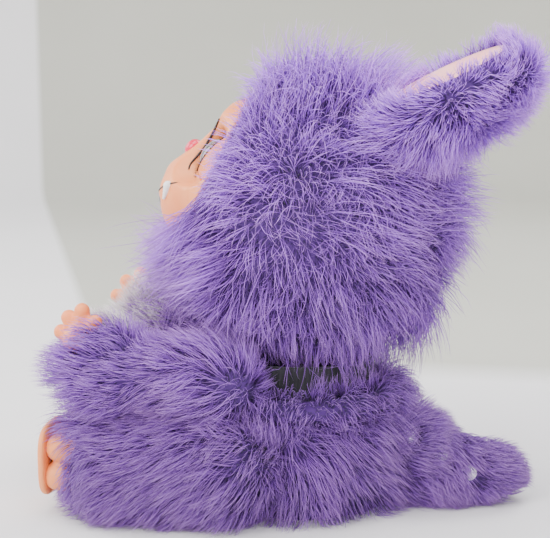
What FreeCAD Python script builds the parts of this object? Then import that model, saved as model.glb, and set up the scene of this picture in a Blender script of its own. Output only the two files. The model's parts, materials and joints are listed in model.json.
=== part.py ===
"""Interactive plush pet: a seated furry toy animal with a mechanical head.

Frame: millimetres, +Z up, the floor is z = 0. The pet faces -Y and its own left side is +X.
Head pieces are drawn in the head's own frame (origin at the head centre, face towards -Y)
and are then tilted back and lifted into place.
"""
import FreeCAD, Part
import Sketcher
import math
import os

doc = FreeCAD.newDocument("plush_pet")
sheet = doc.addObject("Spreadsheet::Sheet", "dims")

DRIVING_DIMENSIONS = {
    # head place and main shells
    "head_y": 11, "head_z": 169, "head_tilt": 38,
    "head_fur_radius": 90, "skull_radius": 64, "skull_wall": 2.5, "fur_gap": 2,
    "face_radius": 50.5, "face_drop": 17, "cheek_reach": 58, "brow_rise": 26,
    # face mask
    "mask_radius": 75, "mask_wall": 2.5, "mask_rim_radius": 47, "mask_drop": 16, "mask_back": 44,
    "muzzle_radius": 31, "muzzle_reach": 52, "muzzle_drop": 33,
    "lip_drop": 41.5, "lip_half_width": 28,
    # eyes and lids
    "eye_x": 23, "eye_reach": 53, "eye_drop": 5, "eye_radius": 16.5, "eye_hole_radius": 16.8,
    "lid_gap": 0.4, "lid_wall": 1, "lid_sweep": 100, "lid_start": 48, "lid_pin_radius": 1.6,
    "lid_pin_half": 42,
    # nose
    "nose_radius": 6, "nose_drop": 14.5, "nose_back": 76, "nose_height": 6.5,
    # jaw
    "jaw_radius": 27, "jaw_wall": 2.5, "jaw_reach": 50, "jaw_drop": 36, "jaw_top_drop": 42.1,
    "jaw_back": 42, "jaw_pin_reach": 36, "jaw_pin_drop": 36, "jaw_pin_radius": 1.5,
    "jaw_pin_half": 25, "jaw_arm_x": 18, "jaw_arm_width": 3.5,
    "tongue_width": 18, "tongue_length": 25, "tongue_depth": 3.5, "tongue_drop": 44,
    "tongue_front": 76.5, "tooth_x": 20,
    # neck
    "nod_z": 118, "neck_shaft_radius": 9.95, "neck_bore_radius": 10, "neck_pin_radius": 3,
    "neck_pin_clearance": 0.06, "neck_hub_radius": 8, "neck_hub_half": 9,
    "collar_radius": 45, "collar_wall": 3, "collar_base": 62, "collar_top": 86, "collar_y": 4,
    "neck_hole_radius": 56, "skull_hole_radius": 26,
    # head drive
    "gear_module": 0.8, "pinion_teeth": 12, "cam_teeth": 36, "gear_width": 5, "gear_x": 8,
    "cam_reach": 8, "cam_up": 8, "cam_shaft_radius": 2, "cam_shaft_half": 24,
    "motor_radius": 8, "motor_length": 21, "plate": 3, "cheek_x": 20, "cheek_wall": 2.5,
    # ears
    "ear_x": 47, "ear_y": 85.5, "ear_z": 71, "ear_half_length": 40, "ear_half_width": 26,
    "ear_half_depth": 18, "ear_lift": 25, "ear_socket_radius": 30,
    "ear_pivot_x": 35, "ear_pivot_y": 48, "ear_pivot_z": 42.4, "ear_lever_radius": 4,
    # torso
    "torso_y": 11, "torso_radius": 46, "torso_wall": 2.5, "torso_base": 4, "torso_top": 58,
    "case_boss_x": 40, "case_boss_radius": 4, "case_boss_low": 14, "case_boss_high": 50,
    "case_hole_radius": 16, "screw_radius": 1.5,
    "body_fur_radius": 60, "body_fur_y": 6, "body_fur_top": 62, "body_fur_round": 16,
    "tray_width": 64, "tray_length": 56, "tray_depth": 17, "tray_base": 7, "tray_wall": 2,
    "cell_radius": 7.1, "cell_length": 50, "cell_pitch": 14.8,
    "door_depth": 2.5, "door_base": 4.2, "door_gap": 0.5,
    "switch_y": -22, "switch_half_width": 7, "switch_half_depth": 4,
    "board_z": 29, "board_depth": 1.6, "board_half_width": 28, "board_half_length": 26,
    "speaker_reach": 29, "speaker_z": 40.5,
    # legs and feet
    "leg_x": 56, "hip_y": -30, "hip_radius": 30, "ankle_y": -115, "ankle_radius": 27,
    "foot_front": -133.5, "sole_width": 44, "sole_height": 42, "sole_depth": 3.4, "sole_z": 31,
    "foot_depth": 18, "foot_inset": 2,
    # arms and hands
    "arm_x": 59, "shoulder_y": -27, "shoulder_z": 78, "arm_radius": 16.5,
    "elbow_y": -92, "elbow_z": 83, "elbow_radius": 22,
    "palm_y": -111, "palm_z": 100, "palm_radius": 13, "finger_radius": 5,
    # tail
    "tail_root_y": 60, "tail_root_radius": 24, "tail_end_y": 118, "tail_end_radius": 15.5,
    "stud_radius": 4.5,
}


def fill_sheet():
    """Writes every driving dimension into the sheet with its alias."""
    for row, (alias, value) in enumerate(DRIVING_DIMENSIONS.items(), 1):
        sheet.set(f"A{row}", alias)
        sheet.set(f"B{row}", str(value))
        sheet.setAlias(f"B{row}", alias)
    doc.recompute()


fill_sheet()

SIDES = {"left": 1, "right": -1}
HEAD_SEAT = ("placement(vector(0; dims.head_y; dims.head_z); "
             "rotation(vector(1; 0; 0); -dims.head_tilt))")
subparts = []
local_seats = {}


def seat(item, x=0, y=0, z=0, axis=(1, 0, 0), angle=0):
    """Binds an object's placement: a shift after a turn about an axis."""
    turn = f"rotation(vector({axis[0]}; {axis[1]}; {axis[2]}); {angle})"
    local_seats[item.Name] = f"placement(vector({x}; {y}; {z}); {turn})"
    item.setExpression("Placement", local_seats[item.Name])
    return item


def primitive(kind, name, **formulas):
    """Adds a Part primitive with its sizes bound to the sheet."""
    item = doc.addObject("Part::" + kind, name)
    for prop, formula in formulas.items():
        item.setExpression(prop, str(formula))
    return item


def ball(name, radius, x=0, y=0, z=0):
    """A sphere with its seam turned to the front."""
    return seat(primitive("Sphere", name, Radius=radius), x, y, z, (0, 0, 1), -90)


def block(name, x_range, y_range, z_range):
    """A box between two corners, each range given as two formulas."""
    sizes = [f"({high}) - ({low})" for low, high in (x_range, y_range, z_range)]
    item = primitive("Box", name, Length=sizes[0], Width=sizes[1], Height=sizes[2])
    return seat(item, x_range[0], y_range[0], z_range[0])


def rod(name, radius, length, x=0, y=0, z=0, axis=(1, 0, 0), angle=0):
    item = primitive("Cylinder", name, Radius=radius, Height=length)
    return seat(item, x, y, z, axis, angle)


def rod_x(name, radius, start, end, y=0, z=0):
    """A cylinder along X between two x formulas."""
    return rod(name, radius, f"({end}) - ({start})", start, y, z, (0, 1, 0), 90)


def rod_forward(name, radius, start, end, x=0, z=0):
    """A cylinder along -Y, from a reach of start to a reach of end."""
    return rod(name, radius, f"({end}) - ({start})", x, f"-({start})", z, (1, 0, 0), 90)


def rod_between(name, radius, start, end, end_radius=None):
    """A cylinder, or a cone, between two points given as numbers."""
    run = FreeCAD.Vector(*end) - FreeCAD.Vector(*start)
    turn = FreeCAD.Rotation(FreeCAD.Vector(0, 0, 1), run)
    if end_radius is None:
        item = primitive("Cylinder", name, Radius=radius, Height=run.Length)
    else:
        item = primitive("Cone", name, Radius1=radius, Radius2=end_radius, Height=run.Length)
    item.Placement = FreeCAD.Placement(FreeCAD.Vector(*start), turn)
    return item


def cut(name, base, *tools):
    """Removes the tools from the base."""
    item = doc.addObject("Part::Cut", name)
    item.Base = base
    item.Tool = tools[0] if len(tools) == 1 else fuse(name + "_tools", *tools)
    return item


def fuse(name, *shapes):
    item = doc.addObject("Part::MultiFuse", name)
    item.Shapes = list(shapes)
    return item


def common(name, first, second):
    item = doc.addObject("Part::Common", name)
    item.Base = first
    item.Tool = second
    return item


def group(name, *shapes):
    """Separate solids that share one node."""
    item = doc.addObject("Part::Compound", name)
    item.Links = list(shapes)
    return item


def deliver(item, label, in_head=False):
    """Names a finished sub-part, and seats it in the head where it belongs there."""
    item.Label = label
    if in_head:
        local = local_seats.get(item.Name)
        item.setExpression("Placement", f"{HEAD_SEAT} * {local}" if local else HEAD_SEAT)
    subparts.append(item)
    return item


def value(alias):
    return float(DRIVING_DIMENSIONS[alias])


def role_plane(body, role):
    return [item for item in body.Origin.OriginFeatures if item.Role == role][0]


def polygon_sketch(body, name, plane, corners):
    """A closed polygon whose corners, given as formulas, are bound to the sheet."""
    sketch = body.newObject("Sketcher::SketchObject", name)
    sketch.AttachmentSupport = [(role_plane(body, plane), "")]
    sketch.MapMode = "FlatFace"
    count = len(corners)
    spots = [FreeCAD.Vector(20 * math.cos(2 * math.pi * i / count),
                            20 * math.sin(2 * math.pi * i / count), 0) for i in range(count)]
    for i in range(count):
        sketch.addGeometry(Part.LineSegment(spots[i], spots[(i + 1) % count]), False)
    for i in range(count):
        sketch.addConstraint(Sketcher.Constraint("Coincident", i, 2, (i + 1) % count, 1))
    for i, (across, along) in enumerate(corners):
        for kind, formula in (("DistanceX", across), ("DistanceY", along)):
            number = sketch.addConstraint(Sketcher.Constraint(kind, -1, 1, i, 1, 1.0))
            sketch.renameConstraint(number, f"{kind}_{i}")
            sketch.setExpression(f"Constraints.{kind}_{i}", str(formula))
    return sketch


def pad(body, name, sketch, length, reversed_side=False):
    feature = body.newObject("PartDesign::Pad", name)
    feature.Profile = sketch
    feature.setExpression("Length", str(length))
    feature.Reversed = reversed_side
    return feature


def turned_body(name, corners):
    """A PartDesign body: a polygon in the XZ plane, turned about Z."""
    body = doc.addObject("PartDesign::Body", name)
    sketch = polygon_sketch(body, name + "_profile", "XZ_Plane", corners)
    turning = body.newObject("PartDesign::Revolution", name + "_turning")
    turning.Profile = sketch
    turning.ReferenceAxis = (sketch, ["V_Axis"])
    turning.Angle = 360
    body.Tip = turning
    return body


# ---------------------------------------------------------------- torso

def torso_shells():
    """Front and back halves of the hard inner case, with screw bosses across the split."""
    outer = rod("case_outer", "dims.torso_radius", "dims.torso_top - dims.torso_base",
                0, "dims.torso_y", "dims.torso_base")
    inner = rod("case_inner", "dims.torso_radius - dims.torso_wall",
                "dims.torso_top - dims.torso_base - 2 * dims.torso_wall",
                0, "dims.torso_y", "dims.torso_base + dims.torso_wall")
    bosses = [rod_forward(f"case_boss_{side}_{level}", "dims.case_boss_radius",
                          "-dims.torso_y - 10", "10 - dims.torso_y",
                          f"{sign} * dims.case_boss_x", f"dims.case_boss_{level}")
              for side, sign in SIDES.items() for level in ("low", "high")]
    screws = [rod_forward(f"case_screw_{side}_{level}", "dims.screw_radius",
                          "-dims.torso_y - 10", "6 - dims.torso_y",
                          f"{sign} * dims.case_boss_x", f"dims.case_boss_{level}")
              for side, sign in SIDES.items() for level in ("low", "high")]
    neck_hole = rod("case_neck_hole", "dims.case_hole_radius", 10, 0, "dims.torso_y", "dims.torso_top - 5")
    tray_gap = block("case_tray_gap", ("-dims.tray_width / 2", "dims.tray_width / 2"),
                     ("dims.torso_y - dims.tray_length / 2", "dims.torso_y + dims.tray_length / 2"),
                     (0, 10))
    switch_gap = block("case_switch_gap", ("-dims.switch_half_width", "dims.switch_half_width"),
                       ("dims.switch_y - dims.switch_half_depth", "dims.switch_y + dims.switch_half_depth"),
                       (0, 8))
    shell = fuse("case_full", cut("case_hollow", outer, inner), *bosses)
    case = cut("case_open", shell, neck_hole, tray_gap, switch_gap, *screws)
    front = block("case_front_half", (-60, 60), ("dims.torso_y - 60", "dims.torso_y"), (0, 70))
    back = block("case_back_half", (-60, 60), ("dims.torso_y", "dims.torso_y + 60"), (0, 70))
    deliver(common("torso_shell_front", case, front), "torso_shell_front")
    deliver(common("torso_shell_back", case, back), "torso_shell_back")
    deliver(group("torso_screws", *screws), "torso_screws")


def battery_bay():
    """Tray, four round cells, their contacts, and the screwed door below."""
    half_width = "dims.tray_width / 2"
    half_length = "dims.tray_length / 2"
    top = "dims.tray_base + dims.tray_depth"
    box = block("tray_box", (f"-{half_width} + 0.1", f"{half_width} - 0.1"),
                (f"dims.torso_y - {half_length} + 0.1", f"dims.torso_y + {half_length} - 0.1"),
                ("dims.tray_base", top))
    hollow = block("tray_hollow", (f"-{half_width} + dims.tray_wall", f"{half_width} - dims.tray_wall"),
                   (f"dims.torso_y - {half_length} + dims.tray_wall - 0.5",
                    f"dims.torso_y + {half_length} - dims.tray_wall + 0.5"),
                   ("dims.tray_base - 1", f"{top} - dims.tray_wall"))
    deliver(cut("battery_tray", box, hollow), "battery_tray")
    cells = []
    contacts = []
    for i in range(4):
        x = f"{i - 1.5} * dims.cell_pitch"
        cells.append(rod_forward(f"cell_{i}", "dims.cell_radius", "-dims.torso_y - dims.cell_length / 2",
                                 "dims.cell_length / 2 - dims.torso_y", x, "dims.tray_base + 7.6"))
        for end in (-1, 1):
            edge = f"dims.torso_y + {end} * (dims.cell_length / 2 + 0.75)"
            contacts.append(block(f"contact_{i}_{'back' if end > 0 else 'front'}",
                                  (f"{x} - 4", f"{x} + 4"), (f"{edge} - 0.5", f"{edge} + 0.5"),
                                  ("dims.tray_base + 3", "dims.tray_base + 12")))
    deliver(group("battery_cells", *cells), "battery_cells")
    deliver(group("battery_contacts", *contacts), "battery_contacts")
    door = block("door_plate", (f"-{half_width} + dims.door_gap", f"{half_width} - dims.door_gap"),
                 (f"dims.torso_y - {half_length} + dims.door_gap",
                  f"dims.torso_y + {half_length} - dims.door_gap"),
                 ("dims.door_base", "dims.door_base + dims.door_depth"))
    screw_y = f"dims.torso_y + {half_length} - 5"
    hole = rod("door_hole", "dims.screw_radius", 10, 0, screw_y, 0)
    deliver(cut("battery_door", door, hole), "battery_door")
    screw = fuse("door_screw_solid", rod("door_screw_head", 2.6, 0.9, 0, screw_y, "dims.door_base - 0.9"),
                 rod("door_screw_shank", "dims.screw_radius", "dims.door_depth + 0.3", 0, screw_y,
                     "dims.door_base"))
    deliver(screw, "battery_door_screw")


def torso_electronics():
    """Control board, sound speaker and power switch inside the case."""
    board = block("board_sheet", ("-dims.board_half_width", "dims.board_half_width"),
                  ("dims.torso_y - dims.board_half_length + 1", "dims.torso_y + dims.board_half_length + 1"),
                  ("dims.board_z", "dims.board_z + dims.board_depth"))
    chip = block("board_chip", (-12, 8), ("dims.torso_y - 8", "dims.torso_y + 10"),
                 ("dims.board_z + dims.board_depth", "dims.board_z + dims.board_depth + 2.4"))
    capacitors = [rod(f"board_capacitor_{i}", 3, 9, 18, f"dims.torso_y - 14 + {i} * 12",
                      "dims.board_z + dims.board_depth") for i in range(3)]
    deliver(fuse("circuit_board", board, chip, *capacitors), "circuit_board")
    basket = turned_body("speaker", [(0, 0), (9, 0), (9, 4), (14, 7), (14, 9), (10, 9), (4, 5), (0, 5)])
    seat(basket, 0, "dims.torso_y - dims.speaker_reach", "dims.speaker_z", (1, 0, 0), 90)
    deliver(basket, "speaker")
    housing = block("switch_box", ("-dims.switch_half_width", "dims.switch_half_width"),
                    ("dims.switch_y - dims.switch_half_depth", "dims.switch_y + dims.switch_half_depth"),
                    (8.2, 15))
    slot = block("switch_slot", (-5, 5), ("dims.switch_y - 1.2", "dims.switch_y + 1.2"), (8, 12))
    deliver(cut("power_switch", housing, slot), "power_switch")
    knob = block("slider_knob", (-4.5, 0.5), ("dims.switch_y - 3", "dims.switch_y + 3"), (4.4, 7.9))
    stem = block("slider_stem", (-3, -1), ("dims.switch_y - 1", "dims.switch_y + 1"), (7.9, 11.5))
    deliver(fuse("power_slider", knob, stem), "power_slider")


def neck_pieces():
    """Bearing and knitted collar on the torso, and the post that turns in the bearing."""
    bearing = cut("neck_bearing", rod("bearing_outer", 16, 6, 0, "dims.torso_y", "dims.torso_top - 5"),
                  rod("bearing_bore", "dims.neck_bore_radius", 20, 0, "dims.torso_y", 45))
    deliver(bearing, "neck_bearing")
    collar = cut("neck_collar",
                 rod("collar_outer", "dims.collar_radius", "dims.collar_top - dims.collar_base",
                     0, "dims.collar_y", "dims.collar_base"),
                 rod("collar_inner", "dims.collar_radius - dims.collar_wall", 60, 0, "dims.collar_y", 50))
    deliver(collar, "neck_collar")
    post = turned_body("post_turning", [
        (0, "dims.torso_top - 8"), ("dims.neck_shaft_radius", "dims.torso_top - 8"),
        ("dims.neck_shaft_radius", "dims.torso_top + 1.2"), (15, "dims.torso_top + 1.2"),
        (15, "dims.torso_top + 3.5"), ("dims.neck_shaft_radius", "dims.torso_top + 6"),
        (6, "dims.nod_z - 12"), (6, "dims.nod_z"), (0, "dims.nod_z")])
    seat(post, 0, "dims.torso_y", 0)
    hub = rod_x("post_hub", "dims.neck_hub_radius", "-dims.neck_hub_half", "dims.neck_hub_half",
                "dims.torso_y", "dims.nod_z")
    bore = rod_x("post_bore", "dims.neck_pin_radius + dims.neck_pin_clearance", -20, 20,
                 "dims.torso_y", "dims.nod_z")
    deliver(cut("neck_post", fuse("post_solid", post, hub), bore), "neck_post")
    deliver(rod_x("neck_pin", "dims.neck_pin_radius", -13.2, 13.2, "dims.torso_y", "dims.nod_z"),
            "neck_pin")


def leg_solid(side, sign, grow=0):
    """Thigh ball and tapered leg, lying on the floor."""
    tag = f"{side}_{'tool' if grow else 'solid'}"
    x = sign * value("leg_x")
    hip = (x, value("hip_y"), value("hip_radius"))
    ankle = (x, value("ankle_y"), value("ankle_radius"))
    thigh = ball(f"thigh_{tag}", f"dims.hip_radius + {grow}", *hip)
    shank = rod_between(f"shank_{tag}", value("hip_radius") + grow, hip, ankle,
                        value("ankle_radius") + grow)
    return fuse(f"leg_{tag}", thigh, shank)


def body_and_leg_fur(feet):
    """Plush skin of the torso and legs as plain closed solids."""
    outer = rod("body_outer", "dims.body_fur_radius", "dims.body_fur_top", 0, "dims.body_fur_y", 0)
    rounding = doc.addObject("Part::Fillet", "body_rounded")
    rounding.Base = outer
    doc.recompute()
    top_edge = [i + 1 for i, edge in enumerate(outer.Shape.Edges)
                if edge.BoundBox.ZMin > value("body_fur_top") - 1][0]
    rounding.Edges = [(top_edge, value("body_fur_round"), value("body_fur_round"))]
    case = rod("body_case_space", "dims.torso_radius + 0.3", 100, 0, "dims.torso_y",
               "dims.torso_base - 0.4")
    door = block("body_door_gap", ("-dims.tray_width / 2 - 1", "dims.tray_width / 2 + 1"),
                 ("dims.switch_y - 6", "dims.torso_y + dims.tray_length / 2 + 1"), (-1, 10))
    legs = [leg_solid(side, sign, 0.3) for side, sign in SIDES.items()]
    tail = rod_between("body_tail_space", value("tail_root_radius") + 0.3,
                       (0, value("tail_root_y"), value("tail_root_radius")),
                       (0, value("tail_end_y"), value("tail_end_radius")),
                       value("tail_end_radius") + 0.3)
    deliver(cut("body_fur", rounding, case, door, tail, *legs), "body_fur")
    for side, sign in SIDES.items():
        leg = leg_solid(side, sign)
        case_space = rod(f"leg_case_space_{side}", "dims.torso_radius + 0.3", 100, 0, "dims.torso_y", -5)
        deliver(cut(f"leg_fur_{side}", leg, feet[side], case_space), f"leg_fur_{side}")


def foot(side, sign):
    """Moulded foot: a thin sole plate and a toe block behind it, with grooves between toes."""
    body = doc.addObject("PartDesign::Body", f"foot_moulding_{side}")
    half_width = "dims.sole_width / 2"
    half_height = "dims.sole_height / 2"

    def outline(inset, name):
        chamfer = 10
        corners = []
        for across, along, flip in ((1, -1, 0), (1, 1, 1), (-1, 1, 0), (-1, -1, 1)):
            near = (f"{across} * ({half_width} - {inset} - {chamfer})",
                    f"{along} * ({half_height} - {inset})")
            far = (f"{across} * ({half_width} - {inset})",
                   f"{along} * ({half_height} - {inset} - {chamfer})")
            corners += [far, near] if flip else [near, far]
        return polygon_sketch(body, f"foot_{side}_{name}", "XZ_Plane", corners)

    pad(body, f"foot_{side}_sole_pad", outline(0, "sole"), "dims.sole_depth")
    body.Tip = pad(body, f"foot_{side}_toe_pad", outline("dims.foot_inset", "toes"), "dims.foot_depth", True)
    x = sign * value("leg_x")
    seat(body, x, "dims.foot_front + dims.sole_depth", "dims.sole_z")
    block_top = value("sole_z") + value("sole_height") / 2 - value("foot_inset")
    groove_start = value("foot_front") + 4
    grooves = [rod_between(f"toe_groove_{side}_{i}", 1.2, (x + shift, groove_start, block_top),
                           (x + shift, groove_start + 20, block_top))
               for i, shift in enumerate((-9, 0, 9))]
    return deliver(cut(f"foot_{side}", body, *grooves), f"foot_{side}")


def tail():
    """Tapered tail on the floor, with three studs on its left side."""
    root = (0, value("tail_root_y"), value("tail_root_radius"))
    end = (0, value("tail_end_y"), value("tail_end_radius"))
    stock = rod_between("tail_stock", value("tail_root_radius"), root, end, value("tail_end_radius"))
    tip = ball("tail_tip", "dims.tail_end_radius", *end)
    body_space = rod("tail_body_space", "dims.torso_radius + 0.3", 100, 0, "dims.torso_y", -5)
    studs = []
    sockets = []
    for i, (y, z) in enumerate(((71, 39), (90, 30), (107, 21))):
        share = (y - root[1]) / (end[1] - root[1])
        radius = root[2] + share * (end[2] - root[2])
        out = math.sqrt(radius ** 2 - (z - radius) ** 2)
        normal = FreeCAD.Vector(out, 0, z - radius).normalize()
        start = FreeCAD.Vector(out, y, z) - normal * 3
        finish = start + normal * 5
        for store, name in ((studs, "stud"), (sockets, "stud_socket")):
            store.append(rod_between(f"{name}_{i}", value("stud_radius"), tuple(start), tuple(finish)))
    deliver(cut("tail_fur", fuse("tail_solid", stock, tip), body_space, *sockets), "tail_fur")
    deliver(group("tail_studs", *studs), "tail_studs")


def arm(side, sign):
    """Plush arm with a bent elbow, its shoulder disc and a small moulded hand."""
    x = sign * value("arm_x")
    shoulder = (x, value("shoulder_y"), value("shoulder_z"))
    elbow = (x, value("elbow_y"), value("elbow_z"))
    palm = (x, value("palm_y"), value("palm_z"))
    tag = f"arm_{side}"
    sleeve = fuse(tag + "_solid",
                  ball(tag + "_shoulder", "dims.arm_radius", *shoulder),
                  rod_between(tag + "_upper", value("arm_radius") - 1, shoulder, elbow,
                              value("elbow_radius") - 3),
                  ball(tag + "_elbow", "dims.elbow_radius", *elbow),
                  rod_between(tag + "_cuff", value("elbow_radius") - 2, elbow, palm,
                              value("palm_radius") + 4))
    disc = rod_x(f"shoulder_disc_{side}", 9, x - sign * (value("arm_radius") - 1.5) - 1.5,
                 x - sign * (value("arm_radius") - 1.5) + 1.5, "dims.shoulder_y", "dims.shoulder_z")
    pieces = [ball(f"palm_{side}", "dims.palm_radius", *palm)]
    for i, (lean, reach) in enumerate(((-72, 14), (-30, 16.5), (2, 18), (34, 14.5))):
        angle = math.radians(lean)
        tip = (x, palm[1] + reach * math.sin(angle), palm[2] + reach * math.cos(angle))
        pieces.append(rod_between(f"finger_{side}_{i}", value("finger_radius"), palm, tip))
        pieces.append(ball(f"fingertip_{side}_{i}", "dims.finger_radius", *tip))
    hand = deliver(fuse(f"hand_{side}", *pieces), f"hand_{side}")
    deliver(cut(f"arm_fur_{side}", sleeve, hand, disc), f"arm_fur_{side}")
    deliver(disc, f"shoulder_disc_{side}")


# ---------------------------------------------------------------- head, drawn untilted

def skull():
    """Two half shells of the skull with bosses and screws, open at the face and the neck."""
    corners = [(f"{side}_{i}", sign * x, z) for side, sign in SIDES.items()
               for i, (x, z) in enumerate(((51, -28), (47.5, 34)))]
    screws = [rod_forward(f"skull_screw_{tag}", "dims.screw_radius", -9, 6, x, z) for tag, x, z in corners]
    for half, start, finish in (("front", 0, 9), ("back", -9, 0)):
        near, far = ("-70", 0) if half == "front" else (0, 70)
        ball_half = block(f"skull_{half}_half", (-70, 70), (near, far), (-70, 70))
        shell = cut(f"skull_{half}_shell",
                    common(f"skull_{half}_solid", ball(f"skull_{half}_outer", "dims.skull_radius"),
                           ball_half),
                    ball(f"skull_{half}_inner", "dims.skull_radius - dims.skull_wall"))
        bosses = [rod_forward(f"skull_{half}_boss_{tag}", "dims.case_boss_radius", start, finish, x, z)
                  for tag, x, z in corners]
        neck_hole = rod(f"skull_{half}_neck_hole", "dims.skull_hole_radius", 80, 0, 0, 0, (1, 0, 0),
                        "180 + dims.head_tilt")
        holes = [neck_hole] + screws
        if half == "front":
            holes.append(rod_forward("skull_face_hole", "dims.mask_rim_radius + 0.2", 12, 80, 0,
                                     "-dims.mask_drop"))
        deliver(cut(f"skull_{half}", fuse(f"skull_{half}_bossed", shell, *bosses), *holes),
                f"skull_{half}", True)
    deliver(group("skull_screws", *screws), "skull_screws", True)


def face_mask():
    """Soft vinyl face: a cap and a muzzle with holes for eyes and nose, open for the jaw."""
    outer = fuse("mask_outer", ball("mask_ball", "dims.mask_radius"),
                 ball("muzzle_ball", "dims.muzzle_radius", 0, "-dims.muzzle_reach", "-dims.muzzle_drop"))
    inner = fuse("mask_inner", ball("mask_ball_inner", "dims.mask_radius - dims.mask_wall"),
                 ball("muzzle_ball_inner", "dims.muzzle_radius - dims.mask_wall", 0,
                      "-dims.muzzle_reach", "-dims.muzzle_drop"))
    rim = rod_forward("mask_rim", "dims.mask_rim_radius", "dims.mask_back", 100, 0, "-dims.mask_drop")
    rim_inner = rod_forward("mask_rim_inner", "dims.mask_rim_radius - dims.mask_wall",
                            "dims.mask_back - 1", 100, 0, "-dims.mask_drop")
    dish = cut("mask_dish", common("mask_solid", outer, rim), common("mask_space", inner, rim_inner))
    eyes = [rod_forward(f"mask_eye_{side}", "dims.eye_hole_radius", 40, 100, f"{sign} * dims.eye_x",
                        "-dims.eye_drop") for side, sign in SIDES.items()]
    nose = rod_forward("mask_nose", "dims.nose_radius + 0.3", 60, 100, 0, "-dims.nose_drop")
    mouth = block("mask_mouth", ("-dims.lip_half_width", "dims.lip_half_width"), (-110, -40),
                  (-90, "-dims.lip_drop"))
    deliver(cut("face_mask", dish, nose, mouth, *eyes), "face_mask", True)


def head_fur():
    """Plush skin of the head as a thick shell, open at the face, neck and ears."""
    outer = ball("fur_ball", "dims.head_fur_radius")
    inner = ball("fur_ball_inner", "dims.skull_radius + dims.fur_gap")
    face = rod_forward("fur_face_hole", "dims.face_radius", 20, 120, 0, "-dims.face_drop")
    neck = rod("fur_neck_hole", "dims.neck_hole_radius", 120, 0, 0, 0, (1, 0, 0), "180 + dims.head_tilt")
    cheeks = block("fur_cheek_cut", (-100, 100), (-110, "-dims.cheek_reach"), (-110, "dims.brow_rise"))
    slots = [rod_between(f"fur_ear_slot_{side}", 9, ear_points(sign)[2], ear_points(sign)[1])
             for side, sign in SIDES.items()]
    sockets = [ball(f"fur_ear_socket_{side}", "dims.ear_socket_radius", *ear_points(sign)[3])
               for side, sign in SIDES.items()]
    deliver(cut("head_fur", outer, inner, face, neck, cheeks, *slots, *sockets), "head_fur", True)


def ear_ellipsoid(side, sign, grow, tag):
    """The ear's outer form: a flattened egg that points back and up."""
    egg = primitive("Ellipsoid", f"ear_{tag}_{side}", Radius1=f"dims.ear_half_depth + {grow}",
                    Radius2=f"dims.ear_half_width + {grow}", Radius3=f"dims.ear_half_length + {grow}")
    return seat_ear(egg, sign)


def seat_ear(item, sign, above=0):
    """Places an ear piece in world directions, undoing the head's tilt."""
    turn = "rotation(vector(1; 0; 0); dims.head_tilt)"
    local = (f"placement(vector({sign} * dims.ear_x; dims.ear_y; dims.ear_z); "
             f"rotation(vector(1; 0; 0); dims.ear_lift)) * placement(vector(0; 0; {above}); "
             "rotation(vector(1; 0; 0); 0))")
    local_seats[item.Name] = f"placement(vector(0; 0; 0); {turn}) * {local}"
    item.setExpression("Placement", local_seats[item.Name])
    return item


def ear_points(sign):
    """Pivot, root, slot start and socket centre of an ear, in the head's own frame."""
    tilt = math.radians(value("head_tilt"))

    def untilted(x, y, z):
        return (sign * x, y * math.cos(tilt) - z * math.sin(tilt), y * math.sin(tilt) + z * math.cos(tilt))

    pivot = untilted(value("ear_pivot_x"), value("ear_pivot_y"), value("ear_pivot_z"))
    inside = tuple(0.85 * part for part in pivot)
    lift = math.radians(value("ear_lift"))
    reach = value("ear_half_length") - 8
    root = untilted(value("ear_x"), value("ear_y") - reach * math.cos(lift),
                    value("ear_z") - reach * math.sin(lift))
    near = value("ear_half_length") - 12
    socket = untilted(value("ear_x"), value("ear_y") - near * math.cos(lift),
                      value("ear_z") - near * math.sin(lift))
    return pivot, root, inside, socket


def ear_lever_rod(side, sign, tag, radius=4):
    pivot, root = ear_points(sign)[:2]
    return rod_between(f"ear_lever_{tag}_{side}", radius, pivot, root)


def ear(side, sign):
    """Furry ear, its satin lining and the lever that swings it."""
    egg = ear_ellipsoid(side, sign, 0, "egg")
    face_cut = seat_ear(primitive("Box", f"ear_trim_{side}", Length=120, Width=120, Height=30), sign)
    face_cut.setExpression("Placement", local_seats[face_cut.Name] +
                           " * placement(vector(-60; -60; dims.ear_half_depth - 8); "
                           "rotation(vector(1; 0; 0); 0))")
    lever = ear_lever_rod(side, sign, "rod", value("ear_lever_radius"))
    lever_space = ear_lever_rod(side, sign, "space", value("ear_lever_radius"))
    deliver(cut(f"ear_fur_{side}", egg, face_cut, lever_space), f"ear_fur_{side}", True)
    oval = doc.addObject("Part::Ellipse", f"lining_oval_{side}")
    oval.setExpression("MajorRadius", "dims.ear_half_length * 0.78")
    oval.setExpression("MinorRadius", "dims.ear_half_width * 0.7")
    sheet_solid = doc.addObject("Part::Extrusion", f"lining_solid_{side}")
    sheet_solid.Base = oval
    sheet_solid.Dir = FreeCAD.Vector(0, 0, 1)
    sheet_solid.LengthFwd = 2
    sheet_solid.Solid = True
    seat_ear(sheet_solid, sign)
    local_seats[sheet_solid.Name] += (" * placement(vector(0; 0; dims.ear_half_depth - 8); "
                                      "rotation(vector(0; 0; 1); 90))")
    deliver(sheet_solid, f"ear_lining_{side}", True)
    pivot = ear_points(sign)[0]
    hub = rod_x(f"ear_hub_{side}", 5, pivot[0] - 4, pivot[0] + 4, pivot[1], pivot[2])
    deliver(fuse(f"ear_lever_{side}", lever, hub), f"ear_lever_{side}", True)


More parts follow.
